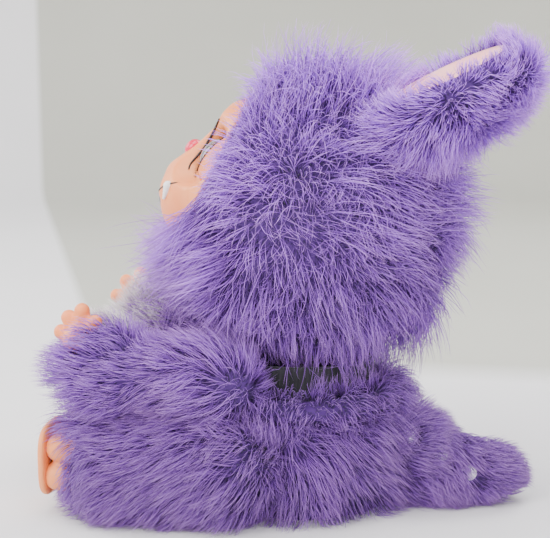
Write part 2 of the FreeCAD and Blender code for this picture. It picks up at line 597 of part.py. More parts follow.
def eyes_and_lids():
    """Eyeballs on pegs, and lids that turn together on one shaft through both eyes."""
    for side, sign in SIDES.items():
        x = f"{sign} * dims.eye_x"
        globe = ball(f"globe_{side}", "dims.eye_radius", x, "-dims.eye_reach", "-dims.eye_drop")
        peg = rod_forward(f"eye_peg_{side}", 5, 33, 45, x, "-dims.eye_drop")
        bore = rod_x(f"eye_bore_{side}", "dims.lid_pin_radius + 0.05", -45, 45, "-dims.eye_reach",
                     "-dims.eye_drop")
        deliver(cut(f"eyeball_{side}", fuse(f"eye_solid_{side}", globe, peg), bore), f"eyeball_{side}", True)
        lid_outer = ball(f"lid_outer_{side}", "dims.eye_radius + dims.lid_gap + dims.lid_wall", x,
                         "-dims.eye_reach", "-dims.eye_drop")
        lid_inner = ball(f"lid_inner_{side}", "dims.eye_radius + dims.lid_gap", x, "-dims.eye_reach",
                         "-dims.eye_drop")
        wedge = primitive("Cylinder", f"lid_wedge_{side}", Radius=30, Height=40, Angle="dims.lid_sweep")
        wedge.setExpression("Placement", f"placement(vector({x} - 20; -dims.eye_reach; -dims.eye_drop); "
                            "rotation(vector(1; 0; 0); -dims.lid_start)) * placement(vector(0; 0; 0); "
                            "rotation(vector(0; 1; 0); 90)) * placement(vector(0; 0; 0); "
                            "rotation(vector(0; 0; 1); -90 - dims.lid_sweep))")
        shaft = rod_x(f"lid_bore_{side}", "dims.lid_pin_radius", -45, 45, "-dims.eye_reach",
                      "-dims.eye_drop")
        lid = common(f"lid_sector_{side}", cut(f"lid_shell_{side}", lid_outer, lid_inner), wedge)
        deliver(cut(f"eyelid_{side}", lid, shaft), f"eyelid_{side}", True)
    deliver(rod_x("eyelid_shaft", "dims.lid_pin_radius", "-dims.lid_pin_half", "dims.lid_pin_half",
                  "-dims.eye_reach", "-dims.eye_drop"), "eyelid_shaft", True)


def nose_button():
    """Press button with a domed cap, a shank and a flange behind the mask."""
    nose = turned_body("nose_button", [
        (0, -9), (7.5, -9), (7.5, -7.5), (3.5, -7.5), (3.5, -3), ("dims.nose_radius", -3),
        ("dims.nose_radius", "dims.nose_height * 0.45"),
        ("dims.nose_radius * 0.85", "dims.nose_height * 0.75"),
        ("dims.nose_radius * 0.5", "dims.nose_height * 0.95"), (0, "dims.nose_height")])
    seat(nose, 0, "-dims.nose_back", "-dims.nose_drop", (1, 0, 0), 90)
    deliver(nose, "nose_button", True)


def jaw_pieces():
    """Lower jaw with its two arms, the hinge pin, the tongue, and the upper mouth parts."""
    cup = cut("jaw_cup", ball("jaw_ball", "dims.jaw_radius", 0, "-dims.jaw_reach", "-dims.jaw_drop"),
              ball("jaw_ball_inner", "dims.jaw_radius - dims.jaw_wall", 0, "-dims.jaw_reach",
                   "-dims.jaw_drop"))
    keep = block("jaw_keep", (-40, 40), (-100, "-dims.jaw_back"), (-90, "-dims.jaw_top_drop"))
    arms = []
    for side, sign in SIDES.items():
        near = f"{sign} * dims.jaw_arm_x"
        far = f"{sign} * (dims.jaw_arm_x + dims.jaw_arm_width)"
        plate = block(f"jaw_arm_{side}", (near, far) if sign > 0 else (far, near), (-57, -32), (-51, -32))
        arms.append(plate)
    pin_space = rod_x("jaw_pin_space", "dims.jaw_pin_radius + 0.05", -40, 40, "-dims.jaw_pin_reach",
                      "-dims.jaw_pin_drop")
    lip = common("jaw_lip", cup, keep)
    deliver(cut("lower_jaw", fuse("jaw_solid", lip, *arms), pin_space), "lower_jaw", True)
    deliver(rod_x("jaw_pin", "dims.jaw_pin_radius", "-dims.jaw_pin_half", "dims.jaw_pin_half",
                  "-dims.jaw_pin_reach", "-dims.jaw_pin_drop"), "jaw_pin", True)
    body = doc.addObject("PartDesign::Body", "tongue")
    half = "dims.tongue_width / 2"
    back = "dims.tongue_length - dims.tongue_front"
    sketch = polygon_sketch(body, "tongue_outline", "XY_Plane", [
        (f"-{half}", back), (f"-{half}", "6 - dims.tongue_front"),
        (f"-{half} + 4", "1.5 - dims.tongue_front"),
        (0, "-dims.tongue_front"), (f"{half} - 4", "1.5 - dims.tongue_front"),
        (half, "6 - dims.tongue_front"), (half, back)])
    body.Tip = pad(body, "tongue_pad", sketch, "dims.tongue_depth")
    seat(body, 0, 0, "-dims.tongue_drop + 2")
    deliver(body, "tongue", True)
    teeth = []
    for side, sign in SIDES.items():
        x = sign * value("tooth_x")
        teeth.append(rod_between(f"tooth_{side}", 2.5, (x, -72, -42.7), (x, -69, -49.2), 0.8))
    deliver(group("upper_teeth", *teeth), "upper_teeth", True)
    deliver(block("mouth_roof", (-17, 17), (-66, -40), (-31, -29)), "mouth_roof", True)


def gear_outline(teeth, module, middle_angle):
    """Involute gear outline in the YZ plane, with one tooth centred on the given angle."""
    pitch = teeth * module / 2
    base = pitch * math.cos(math.radians(20))
    tip = pitch + module * 0.95
    root = pitch - module * 1.25
    play = 0.07
    half_tooth = math.pi / (2 * teeth) - play / (2 * pitch)
    involute = math.tan(math.radians(20)) - math.radians(20)
    points = []
    for i in range(teeth):
        middle = middle_angle + 2 * math.pi * i / teeth
        flank = []
        start = max(base, root)
        for step in range(6):
            radius = start + (tip - start) * step / 5
            roll = math.acos(min(1, base / radius))
            spread = half_tooth + involute - (math.tan(roll) - roll)
            flank.append((radius, spread))
        outline = [(root, flank[0][1])] + flank
        points += [(r, middle - s) for r, s in outline]
        points += [(r, middle + s) for r, s in reversed(outline)]
    corners = [FreeCAD.Vector(0, r * math.cos(a), r * math.sin(a)) for r, a in points]
    return Part.Face(Part.makePolygon(corners + corners[:1]))


def gear(name, teeth, middle):
    """A flat gear whose axis is X, starting at x = 0, with a tooth at the middle angle."""
    outline = gear_outline(teeth, sheet.get("gear_module"), middle)
    item = doc.addObject("Part::Feature", name)
    item.Shape = outline.extrude(FreeCAD.Vector(sheet.get("gear_width"), 0, 0))
    return item


def head_drive():
    """Chassis, motor, pinion and cam gear with its shaft, cams and journals."""
    floor = block("chassis_floor", (-30, 30), (-33, 38), (-28, -25))
    wall = block("chassis_wall", (-30, 30), (-33, -30), (-25.5, 22))
    parts = [floor, wall]
    for side, sign in SIDES.items():
        near, far = f"{sign} * dims.cheek_x", f"{sign} * (dims.cheek_x + dims.cheek_wall)"
        cheek = (near, far) if sign > 0 else (far, near)
        parts.append(block(f"cheek_{side}", cheek, (-30.5, 10), (-25.5, 20)))
        parts.append(block(f"neck_ear_{side}", (9.3, 12.3) if sign > 0 else (-12.3, -9.3), (22, 38),
                           (-45.5, -27.5)))
        parts.append(block(f"jaw_ear_{side}", (22, 25) if sign > 0 else (-25, -22), (-40, -29), (-41, -26)))
    shaft_space = rod_x("cam_journal", "dims.cam_shaft_radius + 0.05", -40, 40, "-dims.cam_reach",
                        "dims.cam_up")
    jaw_space = rod_x("jaw_pin_hole", "dims.jaw_pin_radius", -40, 40, "-dims.jaw_pin_reach",
                      "-dims.jaw_pin_drop")
    tilt = math.radians(value("head_tilt"))
    below = value("head_z") - value("nod_z")
    neck_at = (below * math.sin(tilt), -below * math.cos(tilt))
    neck_space = rod_x("neck_pin_hole", "dims.neck_pin_radius", -40, 40, *neck_at)
    deliver(cut("drive_chassis", fuse("chassis_solid", *parts), shaft_space, jaw_space, neck_space),
            "drive_chassis", True)

    centre_gap = "dims.gear_module * (dims.pinion_teeth + dims.cam_teeth) / 2"
    motor_up = f"dims.cam_up - {centre_gap}"
    can = rod_x("motor_can", "dims.motor_radius", "5 - dims.motor_length", 5, "-dims.cam_reach", motor_up)
    motor_bore = rod_x("motor_bore", 1.05, -2, 6, "-dims.cam_reach", motor_up)
    feet = block("motor_feet", (-14, 3), (-12, -4), ("-25", "-17.5"))
    deliver(cut("drive_motor", fuse("motor_solid", can, feet), motor_bore), "drive_motor", True)

    pinion_teeth = DRIVING_DIMENSIONS["pinion_teeth"]
    pinion_wheel = gear("pinion_wheel", pinion_teeth, math.pi / 2 + math.pi / pinion_teeth)
    seat(pinion_wheel, "dims.gear_x", "-dims.cam_reach", motor_up)
    stub = rod_x("pinion_stub", 1, -1.5, "dims.gear_x + 1", "-dims.cam_reach", motor_up)
    deliver(fuse("motor_pinion", pinion_wheel, stub), "motor_pinion", True)

    wheel = gear("cam_wheel", DRIVING_DIMENSIONS["cam_teeth"], -math.pi / 2)
    seat(wheel, "dims.gear_x", "-dims.cam_reach", "dims.cam_up")
    wheel_bore = rod_x("cam_wheel_bore", "dims.cam_shaft_radius", -40, 40, "-dims.cam_reach", "dims.cam_up")
    deliver(cut("cam_gear", wheel, wheel_bore), "cam_gear", True)
    shaft = rod_x("cam_spindle", "dims.cam_shaft_radius", "-dims.cam_shaft_half", "dims.cam_shaft_half",
                  "-dims.cam_reach", "dims.cam_up")
    cams = []
    for i, (x, angle) in enumerate(((-15, 0), (-8, 120), (-1, 240))):
        turn = math.radians(angle)
        cams.append(rod_x(f"cam_{i}", 7, x, x + 4, f"-dims.cam_reach + {3 * math.cos(turn):.4f}",
                          f"dims.cam_up + {3 * math.sin(turn):.4f}"))
    deliver(fuse("cam_shaft", shaft, *cams), "cam_shaft", True)


def build():
    """Builds every sub-part of the pet."""
    torso_shells()
    battery_bay()
    torso_electronics()
    neck_pieces()
    body_and_leg_fur({side: foot(side, sign) for side, sign in SIDES.items()})
    tail()
    for side, sign in SIDES.items():
        arm(side, sign)
    skull()
    face_mask()
    head_fur()
    eyes_and_lids()
    nose_button()
    jaw_pieces()
    head_drive()
    for side, sign in SIDES.items():
        ear(side, sign)
    doc.recompute()


def export_parts():
    """Checks the document and writes one STEP file for each sub-part."""
    os.makedirs("parts", exist_ok=True)
    for item in doc.Objects:
        if "Invalid" in item.State or "Error" in item.State:
            raise RuntimeError(f"{item.Name} did not build: {item.State}")
    for item in subparts:
        if item.Shape.isNull() or not item.Shape.isValid():
            raise RuntimeError(f"{item.Label} has no valid shape")
        item.Shape.exportStep(f"parts/{item.Label}.step")


build()
export_parts()
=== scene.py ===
import json
import math

import bmesh
import bpy
import numpy as np
from mathutils import Matrix, Vector


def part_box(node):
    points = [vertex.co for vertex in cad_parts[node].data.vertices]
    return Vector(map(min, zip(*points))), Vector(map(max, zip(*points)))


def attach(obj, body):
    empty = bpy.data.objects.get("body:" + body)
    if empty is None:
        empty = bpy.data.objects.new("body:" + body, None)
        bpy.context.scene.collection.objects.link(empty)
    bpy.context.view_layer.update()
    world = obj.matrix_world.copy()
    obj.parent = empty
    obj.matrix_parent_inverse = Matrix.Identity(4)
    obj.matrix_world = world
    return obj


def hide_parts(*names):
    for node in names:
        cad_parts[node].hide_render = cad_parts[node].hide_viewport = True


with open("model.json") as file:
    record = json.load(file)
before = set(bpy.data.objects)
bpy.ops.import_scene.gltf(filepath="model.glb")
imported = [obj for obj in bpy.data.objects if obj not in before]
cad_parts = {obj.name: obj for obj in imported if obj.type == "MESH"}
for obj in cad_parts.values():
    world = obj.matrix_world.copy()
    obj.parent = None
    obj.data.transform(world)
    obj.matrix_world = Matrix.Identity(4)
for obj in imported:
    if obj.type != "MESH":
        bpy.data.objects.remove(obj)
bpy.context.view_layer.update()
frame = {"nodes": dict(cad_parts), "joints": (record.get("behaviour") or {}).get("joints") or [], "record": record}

# The pet sits facing -Y, with its own left side towards +X. All sizes are in metres.
MM = 0.001
SIDES = {"left": 1.0, "right": -1.0}
joints = {joint["name"]: joint for joint in frame["joints"]}


# ---- places read from the frame

def middle(node):
    low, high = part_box(node)
    return (low + high) / 2


def head_centre():
    """The skull's centre, from its farthest and its highest points and its radius."""
    low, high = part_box("skull_back")
    radius = (high.x - low.x) / 2
    front_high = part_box("skull_front")[1]
    return Vector((0, high.y - radius, front_high.z - radius))


HEAD = head_centre()
NOSE_AXIS = Vector(joints["nose_press"]["axis"]).normalized()
HEAD_TILT = math.atan2(-NOSE_AXIS.z, NOSE_AXIS.y)
HEAD_TURN = Matrix.Rotation(-HEAD_TILT, 3, "X")
FORWARD = np.array(HEAD_TURN @ Vector((0, -1, 0)))
UPWARD = np.array(HEAD_TURN @ Vector((0, 0, 1)))


def head_points(points):
    """Points given as (side, forward, up) in millimetres from the head centre, in the row frame."""
    points = np.asarray(points, float) * MM
    side = points[..., 0:1] * np.array((1.0, 0.0, 0.0))
    return side + points[..., 1:2] * FORWARD + points[..., 2:3] * UPWARD + np.array(HEAD)


# ---- material building blocks

# how fast a hair's lightness swings with its own shade
SHADE_WAVES = 37.0


def new_material(name):
    """A node material with its Principled shader and its tree."""
    material = bpy.data.materials.new(name)
    material.use_nodes = True
    tree = material.node_tree
    return material, tree, tree.nodes["Principled BSDF"]


def add_node(tree, kind, **settings):
    node = tree.nodes.new(kind)
    for name, setting in settings.items():
        if hasattr(node, name):
            setattr(node, name, setting)
        else:
            node.inputs[name.replace("_", " ")].default_value = setting
    return node


def object_coordinates(tree):
    return add_node(tree, "ShaderNodeTexCoord").outputs["Object"]


def uv_coordinates(tree):
    return add_node(tree, "ShaderNodeUVMap", uv_map="OFBake").outputs["UV"]


def split(tree, vector):
    """The X, Y and Z outputs of a vector."""
    node = add_node(tree, "ShaderNodeSeparateXYZ")
    tree.links.new(vector, node.inputs["Vector"])
    return node.outputs


def feed(tree, value, socket):
    """Gives a socket a plain number or another node's output."""
    if isinstance(value, float):
        socket.default_value = value
    else:
        tree.links.new(value, socket)


def arithmetic(tree, operation, first, second=0.0):
    node = add_node(tree, "ShaderNodeMath", operation=operation)
    feed(tree, first, node.inputs[0])
    feed(tree, second, node.inputs[1])
    return node.outputs[0]


def linear_map(tree, value, from_low, from_high, to_low=0.0, to_high=1.0):
    node = add_node(tree, "ShaderNodeMapRange", From_Min=from_low, From_Max=from_high, To_Min=to_low,
                    To_Max=to_high)
    tree.links.new(value, node.inputs["Value"])
    return node.outputs["Result"]


def mixed(tree, factor, first, second, blend="MIX"):
    """Two colours mixed by a factor."""
    node = add_node(tree, "ShaderNodeMix", data_type="RGBA", blend_type=blend)
    feed(tree, factor, node.inputs["Factor"])
    tree.links.new(first, node.inputs["A"])
    tree.links.new(second, node.inputs["B"])
    return node.outputs["Result"]


def set_sockets(shader, **constants):
    for name, setting in constants.items():
        shader.inputs[name.replace("_", " ")].default_value = setting


def noise_value(tree, vector, scale, detail=3.0):
    node = add_node(tree, "ShaderNodeTexNoise", Scale=scale, Detail=detail, Roughness=0.55)
    tree.links.new(vector, node.inputs["Vector"])
    return node.outputs["Fac"]


def ramp(tree, factor, stops):
    """A colour ramp through (place, colour) stops; a single number is a grey."""
    node = add_node(tree, "ShaderNodeValToRGB")
    elements = node.color_ramp.elements
    while len(elements) < len(stops):
        elements.new(0.5)
    for element, (place, colour) in zip(elements, stops):
        element.position = place
        grey = isinstance(colour, (int, float))
        element.color = (colour, colour, colour, 1) if grey else (*colour, 1)
    tree.links.new(factor, node.inputs["Fac"])
    return node.outputs["Color"]


def bump(tree, shader, height, strength, distance):
    node = add_node(tree, "ShaderNodeBump", Strength=strength, Distance=distance)
    tree.links.new(height, node.inputs["Height"])
    tree.links.new(node.outputs["Normal"], shader.inputs["Normal"])


def moulded_material(name, dark, light, roughness=(0.4, 0.55), grain=900.0, patch=35.0, depth=0.15,
                     **constants):
    """Moulded plastic, vinyl or metal: patchy colour, fine grain in the roughness and the surface."""
    material, tree, shader = new_material(name)
    place = object_coordinates(tree)
    patches = noise_value(tree, place, patch)
    fine = noise_value(tree, place, grain, 2.0)
    tree.links.new(ramp(tree, patches, [(0.3, dark), (0.7, light)]), shader.inputs["Base Color"])
    tree.links.new(ramp(tree, fine, [(0.3, roughness[0]), (0.7, roughness[1])]), shader.inputs["Roughness"])
    bump(tree, shader, fine, depth, 0.0003)
    set_sockets(shader, **constants)
    return material


def hair_material(name, root, body, tip, warm_tip):
    """Pile that is dark at the root, light at the tip and lighter higher up: the dark root is painted shade among
    the hairs, the light tip a painted highlight, and the lightening higher up painted light from above.

    The v coordinate runs along a hair, and u is the hair's own shade.
    """
    material, tree, shader = new_material(name)
    parts = split(tree, uv_coordinates(tree))
    shade, along = parts["X"], parts["Y"]
    # painted light and shade along each hair: the root colour is painted shade among the hairs, the tip colour a
    # painted highlight
    cool_side = ramp(tree, along, [(0.0, root), (0.16, root), (0.5, body), (0.88, tip)])
    warm_side = ramp(tree, along, [(0.0, root), (0.18, root), (0.55, body), (0.95, warm_tip)])
    colour = mixed(tree, shade, cool_side, warm_side)
    wave = arithmetic(tree, "SINE", arithmetic(tree, "MULTIPLY", shade, SHADE_WAVES))
    level = linear_map(tree, wave, -1.0, 1.0, 0.72, 1.10)
    # painted light from above: the pile is lighter higher up and darker towards the floor
    painted_top_light = linear_map(tree, split(tree, object_coordinates(tree))["Z"], 0.03, 0.25, 0.66, 1.32)
    tone = arithmetic(tree, "MULTIPLY", level, painted_top_light)
    tree.links.new(mixed(tree, 1.0, colour, tone, "MULTIPLY"), shader.inputs["Base Color"])
    tree.links.new(ramp(tree, along, [(0.0, 0.85), (1.0, 0.55)]), shader.inputs["Roughness"])
    set_sockets(shader, Sheen_Weight=0.12, Sheen_Roughness=0.5, Specular_IOR_Level=0.25)
    return material


# ---- mesh building blocks

def linked(name, data):
    """A new object in the scene."""
    made = bpy.data.objects.new(name, data)
    bpy.context.scene.collection.objects.link(made)
    return made


def settle(piece, body, node=None):
    """Rides a piece on its body, and lets it stand for a CAD node."""
    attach(piece, body)
    if node:
        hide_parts(node)


def point_array(mesh):
    flat = np.empty(len(mesh.vertices) * 3, np.float32)
    mesh.vertices.foreach_get("co", flat)
    return flat.reshape(-1, 3).astype(float)


def set_points(mesh, points):
    mesh.vertices.foreach_set("co", points.astype(np.float32).ravel())
    mesh.update()


def shade_smooth(mesh):
    mesh.polygons.foreach_set("use_smooth", np.full(len(mesh.polygons), True))


def apply_modifiers(piece):
    """Bakes the piece's modifiers into its mesh."""
    graph = bpy.context.evaluated_depsgraph_get()
    mesh = bpy.data.meshes.new_from_object(piece.evaluated_get(graph))
    old = piece.data
    piece.modifiers.clear()
    piece.data = mesh
    bpy.data.meshes.remove(old)


def modify(piece, *steps):
    """Applies modifiers, each given as (kind, settings)."""
    for kind, settings in steps:
        modifier = piece.modifiers.new(kind.lower(), kind)
        for name, setting in settings.items():
            setattr(modifier, name, setting)
    apply_modifiers(piece)


def remesh(piece, voxel, smoothing):
    modify(piece, ("REMESH", {"mode": "VOXEL", "voxel_size": voxel}), ("SMOOTH", {"iterations": smoothing}))


def mesh_object(name, points, loops, starts, totals, material, uvs=None):
    """A mesh object from flat arrays: points, corner indices, and each face's start and size."""
    mesh = bpy.data.meshes.new(name)
    mesh.vertices.add(len(points))
    mesh.vertices.foreach_set("co", np.ascontiguousarray(points, np.float32).ravel())
    mesh.loops.add(len(loops))
    mesh.loops.foreach_set("vertex_index", np.ascontiguousarray(loops, np.int32))
    mesh.polygons.add(len(starts))
    mesh.polygons.foreach_set("loop_start", np.ascontiguousarray(starts, np.int32))
    mesh.polygons.foreach_set("loop_total", np.ascontiguousarray(totals, np.int32))
    shade_smooth(mesh)
    mesh.update(calc_edges=True)
    if uvs is not None:
        layer = mesh.uv_layers.new(name="OFBake")
        layer.data.foreach_set("uv", np.ascontiguousarray(uvs, np.float32).ravel())
    mesh.validate()
    mesh.materials.append(material)
    return linked(name, mesh)


def band(first, second, count):
    """Quads between two closed rings of points, from the index of each ring's first point."""
    return [(first + k, first + (k + 1) % count, second + (k + 1) % count, second + k) for k in range(count)]


def quad_mesh(name, points, quads, material, uvs=None):
    """A mesh object whose faces all have four corners."""
    return mesh_object(name, points, np.ravel(quads), np.arange(len(quads)) * 4, np.full(len(quads), 4),
                       material, uvs)


def hair_mesh(name, paths, radii, shades, material):
    """Closed three-sided hairs. paths is (hair, point, 3), radii and shades one per hair."""
    count, steps = paths.shape[:2]
    rings = steps - 1
    run = paths[:, -1] - paths[:, 0]
    run /= np.linalg.norm(run, axis=1, keepdims=True) + 1e-12
    helper = np.where(np.abs(run[:, 2:3]) < 0.8, (0.0, 0.0, 1.0), (1.0, 0.0, 0.0))
    across = np.cross(run, helper)
    across /= np.linalg.norm(across, axis=1, keepdims=True) + 1e-12
    over = np.cross(run, across)
    along = np.linspace(0, 1, steps)[:rings]
    taper = 1 - along ** 2.2 * 0.82
    corners = []
    for turn in (0.0, 2 * math.pi / 3, 4 * math.pi / 3):
        offset = across * math.cos(turn) + over * math.sin(turn)
        corners.append(paths[:, :rings] + offset[:, None] * (radii[:, None] * taper)[..., None])
    ring_points = np.stack(corners, axis=2).reshape(count, rings * 3, 3)
    points = np.concatenate([ring_points, paths[:, -1:]], axis=1)
    per_hair = rings * 3 + 1
    quads = []
    quad_uvs = []
    for ring in range(rings - 1):
        for side in range(3):
            a, b = ring * 3 + side, ring * 3 + (side + 1) % 3
            quads.append((a, b, b + 3, a + 3))
            low, high = along[ring], along[ring + 1]
            quad_uvs.append(((side, low), (side + 1, low), (side + 1, high), (side, high)))
    last = (rings - 1) * 3
    triangles = [(last + side, last + (side + 1) % 3, per_hair - 1) for side in range(3)] + [(0, 2, 1)]
    triangle_uvs = [((side, along[-1]), (side + 1, along[-1]), (side + 0.5, 1.0)) for side in range(3)]
    triangle_uvs.append(((0, 0), (3, 0), (1.5, 0.02)))
    base = (np.arange(count) * per_hair)[:, None]
    quad_loops = (base + np.array(quads).ravel()[None]).ravel()
    triangle_loops = (base + np.array(triangles).ravel()[None]).ravel()
    loops = np.concatenate([quad_loops, triangle_loops])
    quad_count, triangle_count = count * len(quads), count * len(triangles)
    starts = np.concatenate([np.arange(quad_count) * 4, quad_count * 4 + np.arange(triangle_count) * 3])
    totals = np.concatenate([np.full(quad_count, 4), np.full(triangle_count, 3)])
    strip = 1 / 64

    def spread(pattern):
        pattern = np.array(pattern, float).reshape(-1, 2)
        u = shades[:, None] * (1 - strip) + pattern[None, :, 0] / 3 * strip
        v = np.broadcast_to(pattern[None, :, 1], u.shape)
        return np.stack([u, v], axis=-1).reshape(-1, 2)

    uvs = np.concatenate([spread(quad_uvs), spread([uv for face in triangle_uvs for uv in face])])
    return mesh_object(name, points.reshape(-1, 3), loops, starts, totals, material, uvs)


# ---- pile

# how far the tips may spread from the upright axis on the floor, on each axis
PILE_REACH = np.array((104.0, 150.0, 280.0)) * MM
PER_PIECE = 7000
HAIR_RADIUS = 0.21 * MM
HAIR_STEPS = 6
ROOT_DEPTH = 1.5 * MM
FLOOR_GAP = 0.6 * MM
# how much a hair strays from its neighbours, and how strongly hairs gather in locks
STRAY = 0.22
GATHER = 0.68
# the size of the locks, in hairs, and how much they pull their tips together
LOCKS = ((220, 0.45), (22, 0.8))
WAVES = 7


def smooth_step(low, high, amount):
    share = np.clip((amount - low) / (high - low), 0, 1)
    return share * share * (3 - 2 * share)


def unit(vectors):
    return vectors / (np.linalg.norm(vectors, axis=-1, keepdims=True) + 1e-12)


def ripple(points, wavelength, seed):
    """A smooth random vector at each point, from a few plane waves."""
    rng = np.random.default_rng(seed)
    total = np.zeros_like(points)
    for _ in range(WAVES):
        heading = unit(rng.normal(size=3)) * 2 * math.pi / (wavelength * rng.uniform(0.7, 1.6))
        swing = rng.normal(size=3)
        total += np.sin(points @ heading + rng.uniform(0, 2 * math.pi))[:, None] * swing
    return total / math.sqrt(WAVES)


def scatter(piece, count, rng, keep=None):
    """Random points over a mesh by area, with smooth normals; keep thins them by place."""
    mesh = piece.data
    mesh.calc_loop_triangles()
    corners = point_array(mesh)
    normals = np.empty(len(mesh.vertices) * 3, np.float32)
    mesh.vertex_normals.foreach_get("vector", normals)
    normals = normals.reshape(-1, 3).astype(float)
    triangles = np.empty(len(mesh.loop_triangles) * 3, np.int32)
    mesh.loop_triangles.foreach_get("vertices", triangles)
    triangles = triangles.reshape(-1, 3)
    a, b, c = (corners[triangles[:, i]] for i in range(3))
    area = np.linalg.norm(np.cross(b - a, c - a), axis=1)
    if keep is not None:
        area = area * keep((a + b + c) / 3)
    pick = rng.choice(len(triangles), size=count, p=area / area.sum())
    u, v = rng.random(count), rng.random(count)
    flip = u + v > 1
    u[flip], v[flip] = 1 - u[flip], 1 - v[flip]
    weights = np.stack([1 - u - v, u, v], axis=1)[..., None]
    points = (corners[triangles[pick]] * weights).sum(axis=1)
    return points, unit((normals[triangles[pick]] * weights).sum(axis=1))


def nearest(points, centres):
    """Index of the nearest centre to each point, in blocks to spare memory."""
    found = np.empty(len(points), int)
    for start in range(0, len(points), 2000):
        block = points[start:start + 2000]
        gap = ((block[:, None] - centres[None]) ** 2).sum(axis=2)
        found[start:start + 2000] = gap.argmin(axis=1)
    return found


def grow(roots, normals, comb, lengths, rng, seed, lift, droop):
    """Hair paths from their roots: lifted along the normal, combed, drooping, and gathered in locks."""
    comb = comb + ripple(roots, 0.035, seed) * 0.28 + ripple(roots, 0.012, seed + 1) * 0.12
    own = rng.normal(size=roots.shape) * STRAY
    paths = np.empty((len(roots), HAIR_STEPS, 3))
    paths[:, 0] = roots
    step = (lengths / (HAIR_STEPS - 1))[:, None]
    for i in range(1, HAIR_STEPS):
        share = i / (HAIR_STEPS - 1)
        heading = normals * lift * (1 - 0.45 * share) + comb * (0.35 + 0.65 * share) + own
        heading[:, 2] -= droop * share
        paths[:, i] = paths[:, i - 1] + unit(heading) * step
    for hairs, pull in LOCKS:
        leaders = rng.choice(len(roots), size=max(8, len(roots) // hairs), replace=False)
        leader = leaders[nearest(roots, roots[leaders])]
        share = np.linspace(0, 1, HAIR_STEPS)[None, :, None] ** 1.6
        strength = (GATHER * pull * rng.uniform(0.35, 1.0, len(roots)))[:, None, None]
        paths = paths + (paths[leader] - paths) * share * strength
    return paths


def pile(name, backing, body, material, length, comb, seed, lift, droop, count=PER_PIECE, keep=None,
         spread=0.25, shade=None, pieces=1):
    """Grows pile over a backing and makes it in one or more pieces that ride on its body."""
    rng = np.random.default_rng(seed)
    radius = HAIR_RADIUS
    for part in range(pieces):
        roots, normals = scatter(backing, count, rng, keep)
        lengths = length(roots) if callable(length) else np.full(count, length)
        lengths = lengths * rng.uniform(1 - spread, 1 + spread * 0.6, count)
        lengths = lengths * (0.92 + 0.16 * ripple(roots, 0.05, seed + 5)[:, 0])
        paths = grow(roots - normals * ROOT_DEPTH, normals, comb(roots, normals), lengths, rng, seed, lift,
                     droop)
        paths[..., 2] = np.maximum(paths[..., 2], FLOOR_GAP + paths[..., 2] * 0.05)
        paths = np.clip(paths, -PILE_REACH, PILE_REACH)
        radii = radius * rng.uniform(0.65, 1.25, count)
        tone = rng.random(count) * 0.6 + 0.2 + 0.18 * ripple(roots, 0.06, seed + 9)[:, 1]
        if shade is not None:
            tone = tone * 0.7 + shade(roots) * 0.3
        label = name if pieces == 1 else f"{name}_{part + 1}"
        piece = hair_mesh(label, paths, radii, np.clip(tone, 0, 1), material)
        settle(piece, body)


# ---- camera, floor and light

def look_at(thing, target):
    thing.rotation_euler = (Vector(target) - thing.location).to_track_quat("-Z", "Y").to_euler()


def soft_light(name, location, size, power, colour=(1, 1, 1)):
    light = bpy.data.lights.new(name, "AREA")
    light.shape = "RECTANGLE"
    light.size, light.size_y = size
    light.energy = power
    light.color = colour
    lamp = linked(name, light)
    lamp.location = location
    look_at(lamp, (0, 0, 0.13))


# the grey cloth's edge: its normal on the floor, and the place under the camera that it starts from
CLOTH_NORMAL = (-0.3462, 0.9381)
CLOTH_START = (0.7477, 0.1214)


def grey_share(tree, place):
    """1 on the grey cloth: beyond the pale floor, and right of a line that bends as it comes near."""
    parts = split(tree, place)
    beyond = linear_map(tree, parts["X"], -0.27, -0.33)
    across = arithmetic(tree, "MULTIPLY", parts["X"], CLOTH_NORMAL[0])
    along = arithmetic(tree, "MULTIPLY", parts["Y"], CLOTH_NORMAL[1])
    start = -CLOTH_START[0] * CLOTH_NORMAL[0] - CLOTH_START[1] * CLOTH_NORMAL[1]
    lateral = arithmetic(tree, "ADD", arithmetic(tree, "ADD", across, along), start)
    bend = linear_map(tree, parts["X"], -1.4, -0.3, 0.0, 0.045)
    beside = linear_map(tree, arithmetic(tree, "SUBTRACT", lateral, bend), -0.004, 0.008)
    return arithmetic(tree, "MULTIPLY", beyond, beside)


def backdrop_material():
    """Pale paper under the pet, with warm grey cloth behind it."""
    material, tree, shader = new_material("studio_paper")
    place = object_coordinates(tree)
    patches = noise_value(tree, place, 2.2)
    pale = ramp(tree, patches, [(0.3, (0.765, 0.755, 0.77)), (0.7, (0.80, 0.79, 0.805))])
    grey = ramp(tree, patches, [(0.3, (0.46, 0.46, 0.41)), (0.7, (0.50, 0.50, 0.45))])
    tree.links.new(mixed(tree, grey_share(tree, place), pale, grey), shader.inputs["Base Color"])
    tree.links.new(ramp(tree, patches, [(0.3, 0.85), (0.7, 0.95)]), shader.inputs["Roughness"])
    bump(tree, shader, patches, 0.1, 0.002)
    return material


def swept_wall(name, outline, angles, material):
    """A wall turned about the upright axis through the pet: outline is (distance, height) points."""
    points = [(-math.cos(a) * out, math.sin(a) * out, rise) for a in angles for out, rise in outline]
    count = len(outline)
    quads = [(k * count + i, (k + 1) * count + i, (k + 1) * count + i + 1, k * count + i + 1)
             for k in range(len(angles) - 1) for i in range(count - 1)]
    quad_mesh(name, points, quads, material)


